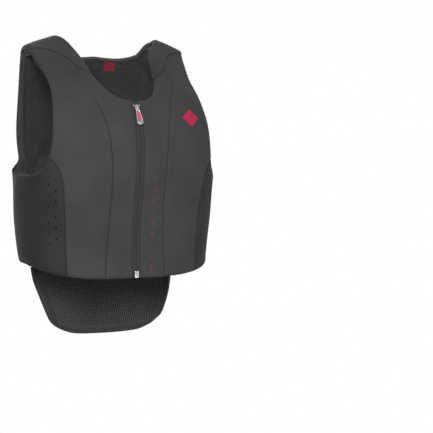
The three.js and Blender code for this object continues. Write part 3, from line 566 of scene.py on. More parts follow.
def finished(name, mesh):
    """The bmesh as an object at the origin, its faces outwards and smooth but for sharp edges."""
    bmesh.ops.recalc_face_normals(mesh, faces=mesh.faces[:])
    data = bpy.data.meshes.new(name)
    mesh.to_mesh(data)
    mesh.free()
    data.polygons.foreach_set("use_smooth", [True] * len(data.polygons))
    data.set_sharp_from_angle(angle=SHARP_ANGLE)
    piece = bpy.data.objects.new(name, data)
    bpy.context.scene.collection.objects.link(piece)
    return piece


# How far the drills stand out of the pads' outer and inner faces, in mm
DRILL_OUT = 5.0
DRILL_IN = 4.0


def pierced(piece, spots, radius=HOLE_RADIUS):
    """Cuts round holes through a pad at places on the form."""
    drills = bmesh.new()
    for turn, fall in spots:
        turn, fall = np.float64(turn), np.float64(fall)
        outside, inside = place(turn, fall, DRILL_OUT), place(turn, fall, -PAD - DRILL_IN)
        axis = Vector(outside - inside)
        turned = Vector((0, 0, 1)).rotation_difference(axis)
        where = Matrix.Translation(Vector((outside + inside) / 2000)) @ turned.to_matrix().to_4x4()
        bmesh.ops.create_cone(drills, cap_ends=True, cap_tris=False, segments=16, radius1=radius / 1000,
                              radius2=radius / 1000, depth=axis.length / 1000, matrix=where)
    cutter = finished(piece.name + "_drills", drills)
    cut = piece.modifiers.new("holes", "BOOLEAN")
    cut.operation = "DIFFERENCE"
    cut.solver = "MANIFOLD"
    cut.object = cutter
    baked(piece)
    bpy.data.objects.remove(cutter)
    return piece


def baked(piece):
    """Puts what the piece's modifiers make into its mesh."""
    graph = bpy.context.evaluated_depsgraph_get()
    data = bpy.data.meshes.new_from_object(piece.evaluated_get(graph))
    piece.modifiers.clear()
    piece.data = data
    return piece


def dress(piece, material, body, nodes=()):
    """Gives a piece its finish, its body and the CAD nodes that it stands for."""
    piece.data.materials.clear()
    piece.data.materials.append(material)
    if nodes:
        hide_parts(*nodes)
    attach(piece, body)
    return piece


# Materials

def new_material(name):
    material = bpy.data.materials.new(name)
    material.use_nodes = True
    nodes, links = material.node_tree.nodes, material.node_tree.links
    return material, nodes, links, nodes["Principled BSDF"]


def noise(nodes, links, coords, scale, detail=3.0, roughness=0.5):
    texture = nodes.new("ShaderNodeTexNoise")
    texture.inputs["Scale"].default_value = scale
    texture.inputs["Detail"].default_value = detail
    texture.inputs["Roughness"].default_value = roughness
    links.new(coords, texture.inputs["Vector"])
    return texture.outputs["Fac"]


def ramp(nodes, links, value, stops):
    """A colour ramp over a value. stops are (position, grey or colour)."""
    node = nodes.new("ShaderNodeValToRGB")
    elements = node.color_ramp.elements
    while len(elements) < len(stops):
        elements.new(0.5)
    for element, (position, colour) in zip(elements, stops):
        element.position = position
        tint = colour if isinstance(colour, tuple) else (colour, colour, colour)
        element.color = (*tint, 1)
    links.new(value, node.inputs["Fac"])
    return node.outputs["Color"]


def math_node(nodes, links, operation, *values):
    node = nodes.new("ShaderNodeMath")
    node.operation = operation
    for socket, value in zip(node.inputs, values):
        if isinstance(value, (int, float)):
            socket.default_value = value
        else:
            links.new(value, socket)
    return node.outputs["Value"]


def mixed(nodes, links, share, first, second, blend="MIX"):
    node = nodes.new("ShaderNodeMix")
    node.data_type = "RGBA"
    node.blend_type = blend
    sockets = {socket.identifier: socket for socket in node.inputs}
    for key, value in (("Factor_Float", share), ("A_Color", first), ("B_Color", second)):
        if isinstance(value, (int, float)):
            sockets[key].default_value = value
        elif isinstance(value, tuple):
            sockets[key].default_value = (*value, 1)
        else:
            links.new(value, sockets[key])
    return next(socket for socket in node.outputs if socket.identifier == "Result_Color")


def bump(nodes, links, height, strength, distance, below=None):
    node = nodes.new("ShaderNodeBump")
    node.inputs["Strength"].default_value = strength
    node.inputs["Distance"].default_value = distance
    links.new(height, node.inputs["Height"])
    if below is not None:
        links.new(below, node.inputs["Normal"])
    return node.outputs["Normal"]


def object_coords(nodes):
    return nodes.new("ShaderNodeTexCoord").outputs["Object"]


def softshell(name, dark, light):
    """Matt brushed knit over foam: fine pebbled knit, stray fibres and slow mottling."""
    material, nodes, links, shader = new_material(name)
    coords = object_coords(nodes)
    mottle = noise(nodes, links, coords, 16, 4)
    fibre = noise(nodes, links, coords, 420, 3, 0.65)
    colour = ramp(nodes, links, mottle, [(0.32, dark), (0.68, light)])
    speckle = ramp(nodes, links, fibre, [(0.3, 0.86), (0.7, 1.0)])
    colour = mixed(nodes, links, 1.0, colour, speckle, "MULTIPLY")
    knit = nodes.new("ShaderNodeTexVoronoi")
    knit.inputs["Scale"].default_value = 820
    links.new(coords, knit.inputs["Vector"])
    rough = math_node(nodes, links, "MULTIPLY_ADD", fibre, 0.16, 0.72)
    links.new(rough, shader.inputs["Roughness"])
    links.new(colour, shader.inputs["Base Color"])
    fold = bump(nodes, links, mottle, 0.25, 0.0016)
    weave = bump(nodes, links, knit.outputs["Distance"], 0.35, 0.0003, fold)
    links.new(bump(nodes, links, fibre, 0.25, 0.0003, weave), shader.inputs["Normal"])
    shader.inputs["Sheen Weight"].default_value = 0.08
    shader.inputs["Sheen Roughness"].default_value = 0.45
    shader.inputs["Specular IOR Level"].default_value = 0.28
    return material


# Distance in metres between the open cells of the spacer mesh
CELL_PITCH = 0.0046


def spacer_mesh(name):
    """Dark spacer mesh: rows of small open cells, on the cloth's own places, the cells painted near-black
    as painted shade in their hollows.
    """
    material, nodes, links, shader = new_material(name)
    cloth = nodes.new("ShaderNodeAttribute")
    cloth.attribute_name = "cloth"
    place_on = cloth.outputs["Vector"]
    waves = None
    for angle in (30, 90, 150):
        dot = nodes.new("ShaderNodeVectorMath")
        dot.operation = "DOT_PRODUCT"
        reach = 4 * math.pi / math.sqrt(3) / CELL_PITCH
        dot.inputs[1].default_value = (reach * math.cos(math.radians(angle)),
                                       reach * math.sin(math.radians(angle)), 0)
        links.new(place_on, dot.inputs[0])
        wave = math_node(nodes, links, "COSINE", dot.outputs["Value"])
        waves = wave if waves is None else math_node(nodes, links, "ADD", waves, wave)
    evened = math_node(nodes, links, "MULTIPLY_ADD", waves, 0.222, 0.333)
    cell_bump_and_shade = ramp(nodes, links, evened, [(0.12, 0.0), (0.42, 1.0)])
    border = nodes.new("ShaderNodeAttribute")
    border.attribute_name = "rim"
    open_part = ramp(nodes, links, math_node(nodes, links, "MULTIPLY", border.outputs["Fac"], 20.0),
                     [(0.2, 0.0), (0.36, 1.0)])
    cell_bump_and_shade = math_node(nodes, links, "MULTIPLY", cell_bump_and_shade, open_part)
    coords = object_coords(nodes)
    fibre = noise(nodes, links, coords, 500, 3, 0.6)
    mottle = noise(nodes, links, coords, 14, 3)
    yarn = ramp(nodes, links, mottle, [(0.3, (0.054, 0.054, 0.051)), (0.7, (0.078, 0.078, 0.073))])
    # Painted shade: the open cells are painted near-black for the shade in their hollows
    colour = mixed(nodes, links, cell_bump_and_shade, yarn, (0.004, 0.004, 0.004))
    colour = mixed(nodes, links, open_part, (0.030, 0.030, 0.029), colour)
    links.new(colour, shader.inputs["Base Color"])
    flipped = math_node(nodes, links, "SUBTRACT", 1.0, cell_bump_and_shade)
    deep = bump(nodes, links, flipped, 0.8, 0.0008)
    links.new(bump(nodes, links, fibre, 0.3, 0.0003, deep), shader.inputs["Normal"])
    rough = math_node(nodes, links, "MULTIPLY_ADD", fibre, 0.15, 0.75)
    links.new(rough, shader.inputs["Roughness"])
    shader.inputs["Sheen Weight"].default_value = 0.1
    shader.inputs["Specular IOR Level"].default_value = 0.25
    return material


def woven_tape(name):
    """Zip tape: a tight herringbone weave."""
    material, nodes, links, shader = new_material(name)
    coords = object_coords(nodes)
    weave = nodes.new("ShaderNodeTexWave")
    weave.bands_direction = "Z"
    weave.inputs["Scale"].default_value = 260
    weave.inputs["Distortion"].default_value = 1.4
    weave.inputs["Detail Scale"].default_value = 3
    links.new(coords, weave.inputs["Vector"])
    fibre = noise(nodes, links, coords, 500, 3)
    colour = ramp(nodes, links, weave.outputs["Fac"], [(0.2, 0.020), (0.8, 0.034)])
    links.new(colour, shader.inputs["Base Color"])
    ribs = bump(nodes, links, weave.outputs["Fac"], 0.6, 0.0003)
    links.new(bump(nodes, links, fibre, 0.2, 0.0002, ribs), shader.inputs["Normal"])
    shader.inputs["Roughness"].default_value = 0.85
    return material


def plated_metal(name, grey, rough):
    """Bright die-cast metal with faint handling marks."""
    material, nodes, links, shader = new_material(name)
    coords = object_coords(nodes)
    smear = noise(nodes, links, coords, 160, 4)
    scratch = noise(nodes, links, coords, 900, 2)
    tone = ramp(nodes, links, smear, [(0.35, 0.86 * grey), (0.65, grey)])
    links.new(tone, shader.inputs["Base Color"])
    value = math_node(nodes, links, "MULTIPLY_ADD", smear, 0.2, rough - 0.06)
    links.new(value, shader.inputs["Roughness"])
    links.new(bump(nodes, links, scratch, 0.12, 0.0002), shader.inputs["Normal"])
    shader.inputs["Metallic"].default_value = 1.0
    return material


def moulded(name, dark, light, rough):
    """Moulded rubber or nylon with a fine grain."""
    material, nodes, links, shader = new_material(name)
    coords = object_coords(nodes)
    tone = noise(nodes, links, coords, 120, 3)
    fine = noise(nodes, links, coords, 700, 2)
    links.new(ramp(nodes, links, tone, [(0.3, dark), (0.7, light)]), shader.inputs["Base Color"])
    value = math_node(nodes, links, "MULTIPLY_ADD", fine, 0.15, rough - 0.07)
    links.new(value, shader.inputs["Roughness"])
    links.new(bump(nodes, links, fine, 0.2, 0.0002), shader.inputs["Normal"])
    return material


SHELL = softshell("charcoal_softshell", 0.0365, 0.0445)
PERFORATED = softshell("perforated_softshell", 0.019, 0.024)
LINING = spacer_mesh("spacer_mesh")
TAPE = woven_tape("zip_tape_weave")
COIL = moulded("nylon_coil", (0.040, 0.040, 0.042), (0.055, 0.055, 0.058), 0.45)
METAL = plated_metal("bright_metal", 0.93, 0.34)
CRIMSON = moulded("crimson_rubber", (0.50, 0.045, 0.12), (0.60, 0.06, 0.16), 0.5)
PRINT = moulded("crimson_print", (0.36, 0.008, 0.045), (0.44, 0.012, 0.06), 0.6)
FAINT_PRINT = moulded("faint_crimson_print", (0.054, 0.026, 0.030), (0.064, 0.030, 0.034), 0.7)
# A darker copy of the crimson print: painted shade for the tab inside the neck
SHADED_TAB_PRINT = moulded("crimson_tab_painted_shade", (0.16, 0.01, 0.03), (0.20, 0.012, 0.038), 0.7)


# Pads

def spine_spots(side):
    """Places of the holes in the centre of the back, on one side of the spine."""
    spots = []
    for column in SPINE_HOLES:
        for i in range(column["count"]):
            fall = math.sqrt(column["first"] * BODY_LENGTH + i * column["pitch"])
            turn = turn_across(column["across"] * HALF_WIDTH, np.float64(fall))
            spots.append((side * turn, fall))
    return spots


def front_pads(end, lines):
    """The two pads of one front: beside the zip, and from the princess seam to the armhole."""
    near = joined([lines["neckFront"], lines["zip"]], [4, 8])
    centre = patch_of(lines["flapEdgeInner"], lines["hemCentre"], near, lines["princess"])
    edges = {"head": SEAM, "foot": HEM, "near": changing(4 / 12, RIM, ZIP_EDGE), "far": SEAM}
    piece = pad_mesh(f"front_centre_pad_{end}", centre, PAD_SPACING, edges)
    dress(piece, SHELL, "vest", [f"front_centre_{end}"])
    far = joined([lines["armFront"], lines["underarmSeam"]], [6, 6])
    flank = patch_of(lines["flapEdgeOuter"], lines["hemFront"], lines["princess"], far)
    edges = {"head": SEAM, "foot": HEM, "near": SEAM, "far": changing(0.5)}
    piece = pad_mesh(f"front_side_pad_{end}", flank, PAD_SPACING, edges)
    dress(piece, SHELL, "vest", [f"front_side_{end}"])


def side_pad(end, lines):
    """The pierced pad under one arm. Its columns of holes have a gap below the third hole."""
    patch = patch_of(lines["underarmFront"], lines["hemSide"], lines["underarmSeam"],
                     lines["sideSeamFront"])
    edges = {"head": RIM, "foot": HEM, "near": SEAM, "far": SEAM}
    piece = pad_mesh(f"side_pad_{end}", patch, PAD_SPACING, edges)
    spots = []
    for column in SIDE_HOLES:
        for i in range(column["count"]):
            offset = i * SIDE_HOLE_PITCH + (SIDE_HOLE_GROUP_GAP if i > 2 else 0)
            fall = -math.sqrt(column["first"] * BODY_LENGTH + offset)
            spots.append((SIGNS[end] * column["turn"], fall))
    pierced(piece, spots)
    dress(piece, PERFORATED, "vest", [f"side_panel_{end}"])


def shoulder_pads(end, lines):
    """The flap that comes over one shoulder, and the tab of the front that lies under it."""
    back = joined([lines["yokeEnd"], lines["bladeUpperOuter"], lines["flapBackEnd"]], [1, 2, 5])
    front = joined([lines["flapEdgeInner"], lines["flapEdgeOuter"]], [3, 5])
    patch = patch_of(back, front, lines["neckShoulder"], lines["armShoulder"])

    def thinned(v):
        return eased(np.clip((v - FLAP_THIN_ROW / FLAP_ROWS) * FLAP_ROWS, 0, 1))

    edges = {"head": SEAM, "foot": FLAP_END, "near": RIM, "far": RIM}
    piece = pad_mesh(
        f"shoulder_flap_pad_{end}", patch, PAD_SPACING, edges,
        outer=lambda u, v: FLAP_LIFT * thinned(v),
        inner=lambda u, v: -PAD + (PAD - FLAP_WALL) * thinned(v), both_round=False)
    dress(piece, SHELL, "vest", [f"shoulder_flap_{end}"])
    tab_start = TAB_ROW / FLAP_ROWS

    def tab(u, v):
        return patch(u, tab_start + (TAB_END - tab_start) * v)

    edges = {"head": SEAM, "foot": SEAM, "near": TAB_RIM, "far": TAB_RIM}
    piece = pad_mesh(f"shoulder_tab_pad_{end}", tab, HIDDEN_SPACING, edges,
                     outer=lambda u, v: np.full_like(u, -FLAP_WALL - FLAP_CLEARANCE), swelling=0)
    dress(piece, SHELL, "vest", [f"shoulder_tab_{end}"])


def blade_pad(end, lines):
    """The pierced diamond on one shoulder blade."""
    patch = patch_of(lines["bladeUpperInner"], lines["bladeLowerOuter"], lines["bladeUpperOuter"],
                     lines["bladeLowerInner"])
    piece = pad_mesh(f"blade_pad_{end}", patch, BLADE_SPACING, ALL_SEAMS)
    spots = [patch(np.float64(u), np.float64(v)) for u in BLADE_HOLES_ACROSS for v in BLADE_HOLES_DOWN]
    pierced(piece, spots, BLADE_HOLE_RADIUS)
    dress(piece, PERFORATED, "vest", [f"blade_panel_{end}"])


def back_side_pad(end, lines):
    """The pad from the spine seam to one armhole and side seam."""
    near = joined([lines["bladeLowerOuter"], lines["spineSeam"]], [2, 10])
    far = joined([lines["armBack"], lines["sideSeamBack"]], [6, 6])
    foot = joined([lines["waistOuter"], lines["hemBack"]], [2, 3])
    edges = {"head": SEAM, "foot": HEM, "near": SEAM, "far": changing(0.5)}
    patch = patch_of(lines["flapBackEnd"], foot, near, far)
    piece = pad_mesh(f"back_side_pad_{end}", patch, PAD_SPACING, edges)
    dress(piece, SHELL, "vest", [f"back_side_{end}"])


def tail_patch(inner, outer):
    """The tail's patch, its waist shared out between the inner and outer outlines."""

    def waist(lines):
        return joined([lines["waistInner"], lines["waistOuter"]], [inner, outer])

    head = joined([reverse(waist(SIDES["r"])), waist(SIDES["l"])], [1, 1])
    return patch_of(head, crossed("tailFoot"), SIDES["r"]["tailSide"], SIDES["l"]["tailSide"])


def back_pads():
    """The yoke, the pierced centre of the back and the tail, each across the whole back."""

    def yoke_side(lines):
        return joined([lines["yokeEnd"], lines["bladeUpperInner"]], [1, 2])

    def spine_side(lines):
        return joined([lines["bladeLowerInner"], lines["spineSeam"]], [2, 10])

    left, right = SIDES["l"], SIDES["r"]
    yoke = patch_of(crossed("neckBack"), crossed("yokeFoot"), yoke_side(right), yoke_side(left))
    edges = {"head": RIM, "foot": SEAM, "near": SEAM, "far": SEAM}
    piece = pad_mesh("neck_yoke_pad", yoke, BACK_SPACING, edges)
    dress(piece, SHELL, "vest", ["neck_yoke"])

    spine = patch_of(crossed("yokeFoot"), crossed("waistInner"), spine_side(right), spine_side(left))
    spots = spine_spots(1) + spine_spots(-1)
    piece = pierced(pad_mesh("back_centre_pad", spine, BACK_SPACING, ALL_SEAMS), spots)
    dress(piece, PERFORATED, "vest", ["back_centre"])

    edges = {"head": SEAM, "foot": HEM, "near": HEM, "far": HEM}
    piece = pad_mesh("tail_pad", tail_patch(3, 2), TAIL_SPACING, edges)
    dress(piece, SHELL, "vest", ["tail"])


def linings():
    """The mesh linings of the fronts, shoulders, back and tail."""
    skin = {
        "edges": {"head": LINING_EDGE, "foot": LINING_EDGE, "near": LINING_EDGE, "far": LINING_EDGE},
        "spacing": HIDDEN_SPACING,
        "outer": lambda u, v: np.full_like(u, -PAD - LINING_GAP),
        "inner": lambda u, v: np.full_like(u, -PAD - LINING_SPACE - LINING_WALL),
        "both_round": False,
        "swelling": 0,
        "clearance": LINING_CLEARANCE,
    }
    shoulder_steps = [1, 1, 3]
    for end, lines in SIDES.items():
        head = joined([lines["flapEdgeInner"], lines["flapEdgeOuter"]], [2, 3])
        foot = joined([lines["hemCentre"], lines["hemFront"], lines["hemSide"]], [1, 2, 2])
        near = joined([lines["neckFront"], lines["zip"]], [3, 7])
        far = joined([lines["armFront"], lines["underarmFront"], lines["sideSeamFront"]], [4, 3, 3])
        piece = pad_mesh(f"front_mesh_{end}", patch_of(head, foot, near, far), **skin)
        dress(piece, LINING, "vest", [f"front_lining_{end}"])
        top = joined([lines["yokeEnd"], lines["bladeUpperOuter"], lines["flapBackEnd"]], shoulder_steps)
        strap = patch_of(top, head, lines["neckShoulder"], lines["armShoulder"])
        piece = pad_mesh(f"shoulder_mesh_{end}", strap, **skin)
        dress(piece, LINING, "vest", [f"shoulder_lining_{end}"])

    def top_of(lines):
        return joined([lines["neckBack"], lines["yokeEnd"], lines["bladeUpperOuter"], lines["flapBackEnd"]],
                      [2, *shoulder_steps])

    def hem_of(lines):
        return joined([lines["waistInner"], lines["waistOuter"], lines["hemBack"]], [2, 2, 3])

    def arm_of(lines):
        return joined([lines["armBack"], lines["sideSeamBack"]], [6, 3])

    left, right = SIDES["l"], SIDES["r"]
    head = joined([reverse(top_of(right)), top_of(left)], [1, 1])
    foot = joined([reverse(hem_of(right)), hem_of(left)], [1, 1])
    piece = pad_mesh("back_mesh", patch_of(head, foot, arm_of(right), arm_of(left)), **skin)
    dress(piece, LINING, "vest", ["back_lining"])
    piece = pad_mesh("tail_mesh", tail_patch(2, 2), **skin)
    dress(piece, LINING, "vest", ["tail_lining"])


for end, lines in SIDES.items():
    front_pads(end, lines)
    side_pad(end, lines)
    shoulder_pads(end, lines)
    blade_pad(end, lines)
    back_side_pad(end, lines)
back_pads()
linings()


# Zip: sizes in millimetres

ZIP_START = OUTLINES["zip"][0]["drop"] * BODY_LENGTH
ZIP_END = OUTLINES["zip"][-1]["drop"] * BODY_LENGTH
TAPE_WALL = 1.2
TAPE_DEPTH = 1.5
TAPE_ROWS = 120
TAPE_COLUMNS = 5
SLIDER_START = 10.5
SLIDER_LENGTH = 11
SLIDER_WIDTH = 8.8
SLIDER_DROP = ZIP_START + SLIDER_START + SLIDER_LENGTH / 2
BOX_LENGTH = 13
BOX_END_GAP = 1
BOX_DROP = ZIP_END - BOX_END_GAP - BOX_LENGTH / 2
COIL_TOP = -0.6
TEETH_PITCH = 1.5
FRAME_REACH = 2
PULLER_LENGTH = 37
PULLER_FOOT = 7.5
PULLER_WIDTH = 12.5
PULLER_TOP_WIDTH = 9
PULLER_WALL = 1.6
PULLER_RIM = 1.9
GRIP_RIM = 2.1
GRIP_WALL = 1.9
PULLER_GAP = 1.2
GRIP_TAPER = 0.09
ARM_REACH = 3.4
HINGE_RADIUS = 0.8
HINGE_LENGTH = 7
PLATE_FLOOR = COIL_TOP + 0.35
PLATE_TOP = PLATE_FLOOR + 1.6
BRIDGE_SPAN = 9.5
BAR_HEIGHT = PLATE_TOP + 0.95


def front_frame(drop):
    """The zip's own frame at a drop: x across, y up the zip and z off the chest, in metres."""
    fall = -math.sqrt(drop)
    origin = Vector(place(np.float64(0), np.float64(fall))) / 1000
    above = place(np.float64(0), np.float64(-math.sqrt(drop - FRAME_REACH)))
    below = place(np.float64(0), np.float64(-math.sqrt(drop + FRAME_REACH)))
    up = Vector(above - below).normalized()
    out = Vector((1, 0, 0)).cross(up)
    turned = Matrix((Vector((1, 0, 0)), up, out)).transposed().to_4x4()
    return Matrix.Translation(origin) @ turned


def soft_box(mesh, size, centre, radius, segments, taper=1):
    """A rounded block in millimetres, added to a bmesh. taper narrows its lower end."""
    made = bmesh.ops.create_cube(mesh, size=1)
    verts = made["verts"]
    bmesh.ops.scale(mesh, vec=size, verts=verts)
    for vert in verts:
        if vert.co.y < 0:
            vert.co.x *= taper
    bmesh.ops.translate(mesh, vec=centre, verts=verts)
    edges = list({edge for vert in verts for edge in vert.link_edges})
    bmesh.ops.bevel(mesh, geom=edges, offset=radius, offset_type="OFFSET", segments=segments, profile=0.5,
                    affect="EDGES", material=-1)


def settled(mesh, drop):
    """Scales a bmesh from millimetres and sets it on the zip at a drop."""
    bmesh.ops.scale(mesh, vec=(0.001, 0.001, 0.001), verts=mesh.verts)
    bmesh.ops.transform(mesh, matrix=front_frame(drop), verts=mesh.verts)


def zip_tapes():
    """The woven tapes: flat bands that follow the zip on each side of its middle."""
    top = COIL_TOP - TAPE_DEPTH
    start, end_drop = ZIP_START + 2, ZIP_END - 2
    fall = -np.sqrt(start + (end_drop - start) * np.linspace(0, 1, TAPE_ROWS + 1))
    falls = np.repeat(fall[:, None], TAPE_COLUMNS, axis=1)
    for end, side in SIGNS.items():
        across = np.linspace(side * 0.25, side * (ZIP_HALF_WIDTH - 0.1), TAPE_COLUMNS)
        turn = np.stack([turn_across(x, fall) for x in across], axis=1)
        faces = {0: place(turn, falls, top), 1: place(turn, falls, top - TAPE_WALL)}
        piece = grown_grid(f"zip_band_{end}", faces, walk(faces[0], 1), walk(faces[0], 0))
        dress(piece, TAPE, "vest", [f"zip_tape_{end}"])


def zip_teeth():
    """Two rows of coil turns, which stand half a pitch apart."""
    mesh = bmesh.new()
    drop = SLIDER_DROP + 4
    side = 1
    while drop < BOX_DROP - BOX_LENGTH / 2:
        turn = bmesh.new()
        soft_box(turn, (1.8, 1.1, 1.3), (side * 1.35, 0, COIL_TOP - 0.7), 0.42, 2)
        settled(turn, drop)
        data = bpy.data.meshes.new("coil_turn")
        turn.to_mesh(data)
        turn.free()
        mesh.from_mesh(data)
        bpy.data.meshes.remove(data)
        side = -side
        drop += TEETH_PITCH / 2
    dress(finished("zip_coil_turns", mesh), COIL, "vest", ["zip_coil"])


def zip_ends():
    """The two top stops, and the bottom box with its two prongs."""
    for end, side in SIGNS.items():
        stop = bmesh.new()
        soft_box(stop, (1.9, 3.2, 2.3), (side * 5.75, SLIDER_LENGTH / 2, -0.4), 0.5, 3)
        settled(stop, SLIDER_DROP)
        dress(finished(f"zip_top_stop_{end}", stop), METAL, "vest", [f"zip_stop_{end}"])
    box = bmesh.new()
    soft_box(box, (8, 7, 3.8), (0, -3, 0.35), 0.8, 3)
    for side in (1, -1):
        soft_box(box, (2.9, 7.5, 3.4), (side * 2.15, 2.75, 0.35), 0.8, 3)
    settled(box, BOX_DROP)
    dress(finished("zip_box_block", box), METAL, "vest", ["zip_box"])


def zip_slider():
    """The slider: a tapered plate, its two flanges and the bridge that holds the puller."""
    mesh = bmesh.new()
    soft_box(mesh, (SLIDER_WIDTH, SLIDER_LENGTH, 1.5), (0, 0, PLATE_FLOOR + 0.85), 0.5, 3, taper=0.72)
    for side in (1, -1):
        soft_box(mesh, (1.0, 8.6, 1.4), (side * 3.3, 0.6, PLATE_FLOOR + 0.2), 0.3, 2, taper=0.8)
    soft_box(mesh, (3, BRIDGE_SPAN, 1.1), (0, 0, PLATE_TOP + 2.45), 0.45, 3)
    for side in (1, -1):
        soft_box(mesh, (3, 1.2, 2.6), (0, side * (BRIDGE_SPAN / 2 - 0.6), PLATE_TOP + 1.3), 0.35, 2)
    settled(mesh, SLIDER_DROP)
    dress(finished("zip_slider_body", mesh), METAL, "vest", ["zip_slider"])


def puller_plate(mesh, inset, wall, radius, rise=0):
    """The puller's plate: a disc drawn out along y, wider at its free end, with rounded rims.

    inset draws it in from its edge, rise draws up its free end.
    """
    start = BRIDGE_SPAN / 2 + PULLER_GAP
    top, foot = PULLER_TOP_WIDTH / 2, PULLER_WIDTH / 2 - GRIP_TAPER * rise
    top_middle, foot_middle = -start - top, PULLER_WIDTH / 2 - PULLER_LENGTH + rise
    lean = math.asin((foot - top) / (top_middle - foot_middle))
    made = bmesh.ops.create_cone(mesh, cap_ends=True, segments=48, radius1=1, radius2=1, depth=wall)
    verts = made["verts"]
    for vert in verts:
        upper = vert.co.y > math.sin(lean)
        size = (top if upper else foot) - inset
        vert.co.x *= size
        vert.co.y = vert.co.y * size + (top_middle if upper else foot_middle)
        vert.co.z += BAR_HEIGHT
    rims = [edge for edge in {e for v in verts for e in v.link_edges}
            if abs(edge.verts[0].co.z - edge.verts[1].co.z) < 1e-4]
    bmesh.ops.bevel(mesh, geom=rims, offset=radius, offset_type="OFFSET", segments=4, profile=0.5,
                    affect="EDGES", material=-1)


def zip_puller():
    """The puller: a metal rim round a rubber grip, two arms and the bar that hooks the bridge."""
    plate = bmesh.new()
    puller_plate(plate, 0, PULLER_WALL, 0.6)
    window = bmesh.new()
    puller_plate(window, PULLER_RIM, 4, 0.3, PULLER_FOOT)
    settled(plate, SLIDER_DROP)
    settled(window, SLIDER_DROP)
    rim = finished("zip_pull_frame", plate)
    cutter = finished("zip_pull_window", window)
    cut = rim.modifiers.new("window", "BOOLEAN")
    cut.operation = "DIFFERENCE"
    cut.solver = "MANIFOLD"
    cut.object = cutter
    baked(rim)
    bpy.data.objects.remove(cutter)
    extra = bmesh.new()
    reach = BRIDGE_SPAN / 2 + ARM_REACH
    for side in (1, -1):
        soft_box(extra, (1.5, reach, 1.5), (side * 2.75, -reach / 2, BAR_HEIGHT), 0.4, 2)
    bar = bmesh.ops.create_cone(extra, cap_ends=True, segments=24, radius1=HINGE_RADIUS,
                                radius2=HINGE_RADIUS, depth=HINGE_LENGTH)
    bmesh.ops.rotate(extra, cent=(0, 0, 0), matrix=Matrix.Rotation(math.pi / 2, 3, "Y"), verts=bar["verts"])
    bmesh.ops.translate(extra, vec=(0, 0, BAR_HEIGHT), verts=bar["verts"])
    settled(extra, SLIDER_DROP)
    arms = finished("zip_pull_arms", extra)
    dress(rim, METAL, "puller", ["zip_puller"])
    dress(arms, METAL, "puller")
    grip = bmesh.new()
    puller_plate(grip, GRIP_RIM, GRIP_WALL, 0.7, PULLER_FOOT)
    settled(grip, SLIDER_DROP)
    dress(finished("zip_pull_grip", grip), CRIMSON, "puller", ["puller_grip"])


zip_tapes()
zip_teeth()
zip_ends()
zip_slider()
zip_puller()


# Plain crimson shapes on the cloth

# Steps along a shape's sides, and the height of a short bar in mm
DIAMOND_STEPS = 14
BAR_STEPS = 4
SHORT_BAR = 4


def printed(name, x, drop, back, width, height, material, diamond=False, lift=0.15, wall=0.5, inside=False):
    """A thin plain shape on the cloth, its middle at x and drop in millimetres."""
    steps = DIAMOND_STEPS if diamond else BAR_STEPS
    a, b = np.meshgrid(np.linspace(-0.5, 0.5, steps + 1), np.linspace(-0.5, 0.5, steps + 1))
    if diamond:
        a, b = (a - b) / 2, (a + b) / 2
    xs = x + a * width
    drops = drop + b * height
    fall = (1 if back else -1) * np.sqrt(drops)
    turn = turn_across(xs, fall)
    raised = 0 if inside else surface_lift(place(turn, fall))
    base = -PAD - LINING_SPACE - LINING_WALL - wall - lift if inside else lift
    faces = {0: place(turn, fall, base + raised + wall), 1: place(turn, fall, base + raised - 0.4)}
    piece = grown_grid(name, faces, walk(faces[0], 1), walk(faces[0], 0))
    return dress(piece, material, "vest")


def bars(name, x, drop, back, count, pitch, width, height):
    """A column of faint bars, every third of them short."""
    for i in range(count):
        printed(f"{name}_{i}", x, drop + i * pitch, back, width, height if i % 3 else SHORT_BAR,
                FAINT_PRINT, lift=0.05, wall=0.2)


printed("chest_diamond", 111, 190, False, 38, 36, PRINT, diamond=True)
printed("back_diamond", -4, 135, True, 26, 34, PRINT, diamond=True)
bars("front_bar", 31, 305, False, 9, 21, 6.5, 9)
bars("back_bar", 0, 172, True, 8, 22, 7, 8)
# The neck tab wears the darker crimson that carries painted shade
printed("neck_tab", 30, 62, True, 25, 18, SHADED_TAB_PRINT, inside=True)


# Camera at the photograph's viewing angle, and light. Angles are in degrees, the distance is in
# metres and the focal length in pixels of the photograph.

CAMERA_AZIMUTH, CAMERA_ELEVATION, CAMERA_DISTANCE = -21.641, -1.921, 2.4733
CAMERA_FOCAL = 1251.1
CAMERA_YAW, CAMERA_PITCH, CAMERA_ROLL = -4.854, 2.016, -1.353
CAMERA_TARGET = Vector((0, -0.02, -0.241))
PHOTO_SIDE = 433
SENSOR_WIDTH = 36
LIGHT_TARGET = Vector((0, -0.02, -0.25))

# Strength of the surroundings, and lights: name, azimuth and elevation in degrees, distance and
# width in metres, and power in watts
AMBIENT = 0.31
LIGHTS = [
    ("key_light", -26, 16, 2.2, 1.0, 42),
    ("fill_light", 55, 0, 2.6, 1.2, 4),
    ("low_light", 8, -32, 2.2, 1.6, 11),
    ("back_light", 165, 45, 2.4, 1.4, 10),
]


def towards(azimuth, elevation):
    """The direction of an azimuth and elevation in degrees, from the vest outwards."""
    a, e = math.radians(azimuth), math.radians(elevation)
    return Vector((math.sin(a) * math.cos(e), -math.cos(a) * math.cos(e), math.sin(e)))


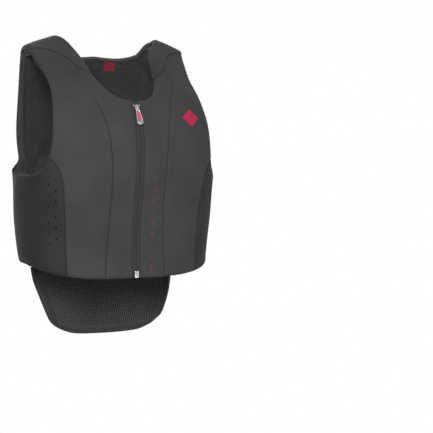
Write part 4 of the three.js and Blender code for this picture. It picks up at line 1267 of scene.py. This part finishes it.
def make_camera():
    """The camera, aimed off the vest by its yaw and pitch, so that the vest stands left of the middle."""
    data = bpy.data.cameras.new("photo_camera")
    camera = bpy.data.objects.new("photo_camera", data)
    bpy.context.scene.collection.objects.link(camera)
    data.sensor_width = SENSOR_WIDTH
    data.lens = CAMERA_FOCAL / PHOTO_SIDE * SENSOR_WIDTH
    data.clip_start, data.clip_end = 0.1, 100
    camera.location = CAMERA_TARGET + towards(CAMERA_AZIMUTH, CAMERA_ELEVATION) * CAMERA_DISTANCE
    look = -towards(CAMERA_AZIMUTH + CAMERA_YAW, CAMERA_ELEVATION + CAMERA_PITCH)
    camera.rotation_mode = "QUATERNION"
    roll = Matrix.Rotation(math.radians(CAMERA_ROLL), 3, "Z").to_quaternion()
    camera.rotation_quaternion = look.to_track_quat("-Z", "Y") @ roll
    bpy.context.scene.camera = camera


def area_light(name, azimuth, elevation, distance, size, power):
    """A round light at an azimuth and elevation, turned to the vest."""
    data = bpy.data.lights.new(name, "AREA")
    data.shape = "DISK"
    data.size = size
    data.energy = power
    light = bpy.data.objects.new(name, data)
    bpy.context.scene.collection.objects.link(light)
    way = towards(azimuth, elevation)
    light.location = LIGHT_TARGET + way * distance
    light.rotation_mode = "QUATERNION"
    light.rotation_quaternion = (-way).to_track_quat("-Z", "Y")


def studio():
    """White surroundings, which the camera sees in full and which light the scene less, and lights."""
    world = bpy.data.worlds.new("studio")
    bpy.context.scene.world = world
    world.use_nodes = True
    nodes, links = world.node_tree.nodes, world.node_tree.links
    nodes["Background"].inputs["Color"].default_value = (1, 1, 1, 1)
    path = nodes.new("ShaderNodeLightPath")
    strength = math_node(nodes, links, "MULTIPLY_ADD", path.outputs["Is Camera Ray"], 1.0 - AMBIENT,
                         AMBIENT)
    links.new(strength, nodes["Background"].inputs["Strength"])
    for name, azimuth, elevation, distance, size, power in LIGHTS:
        area_light(name, azimuth, elevation, distance, size, power)
    bpy.context.scene.view_settings.view_transform = "Standard"


make_camera()
studio()
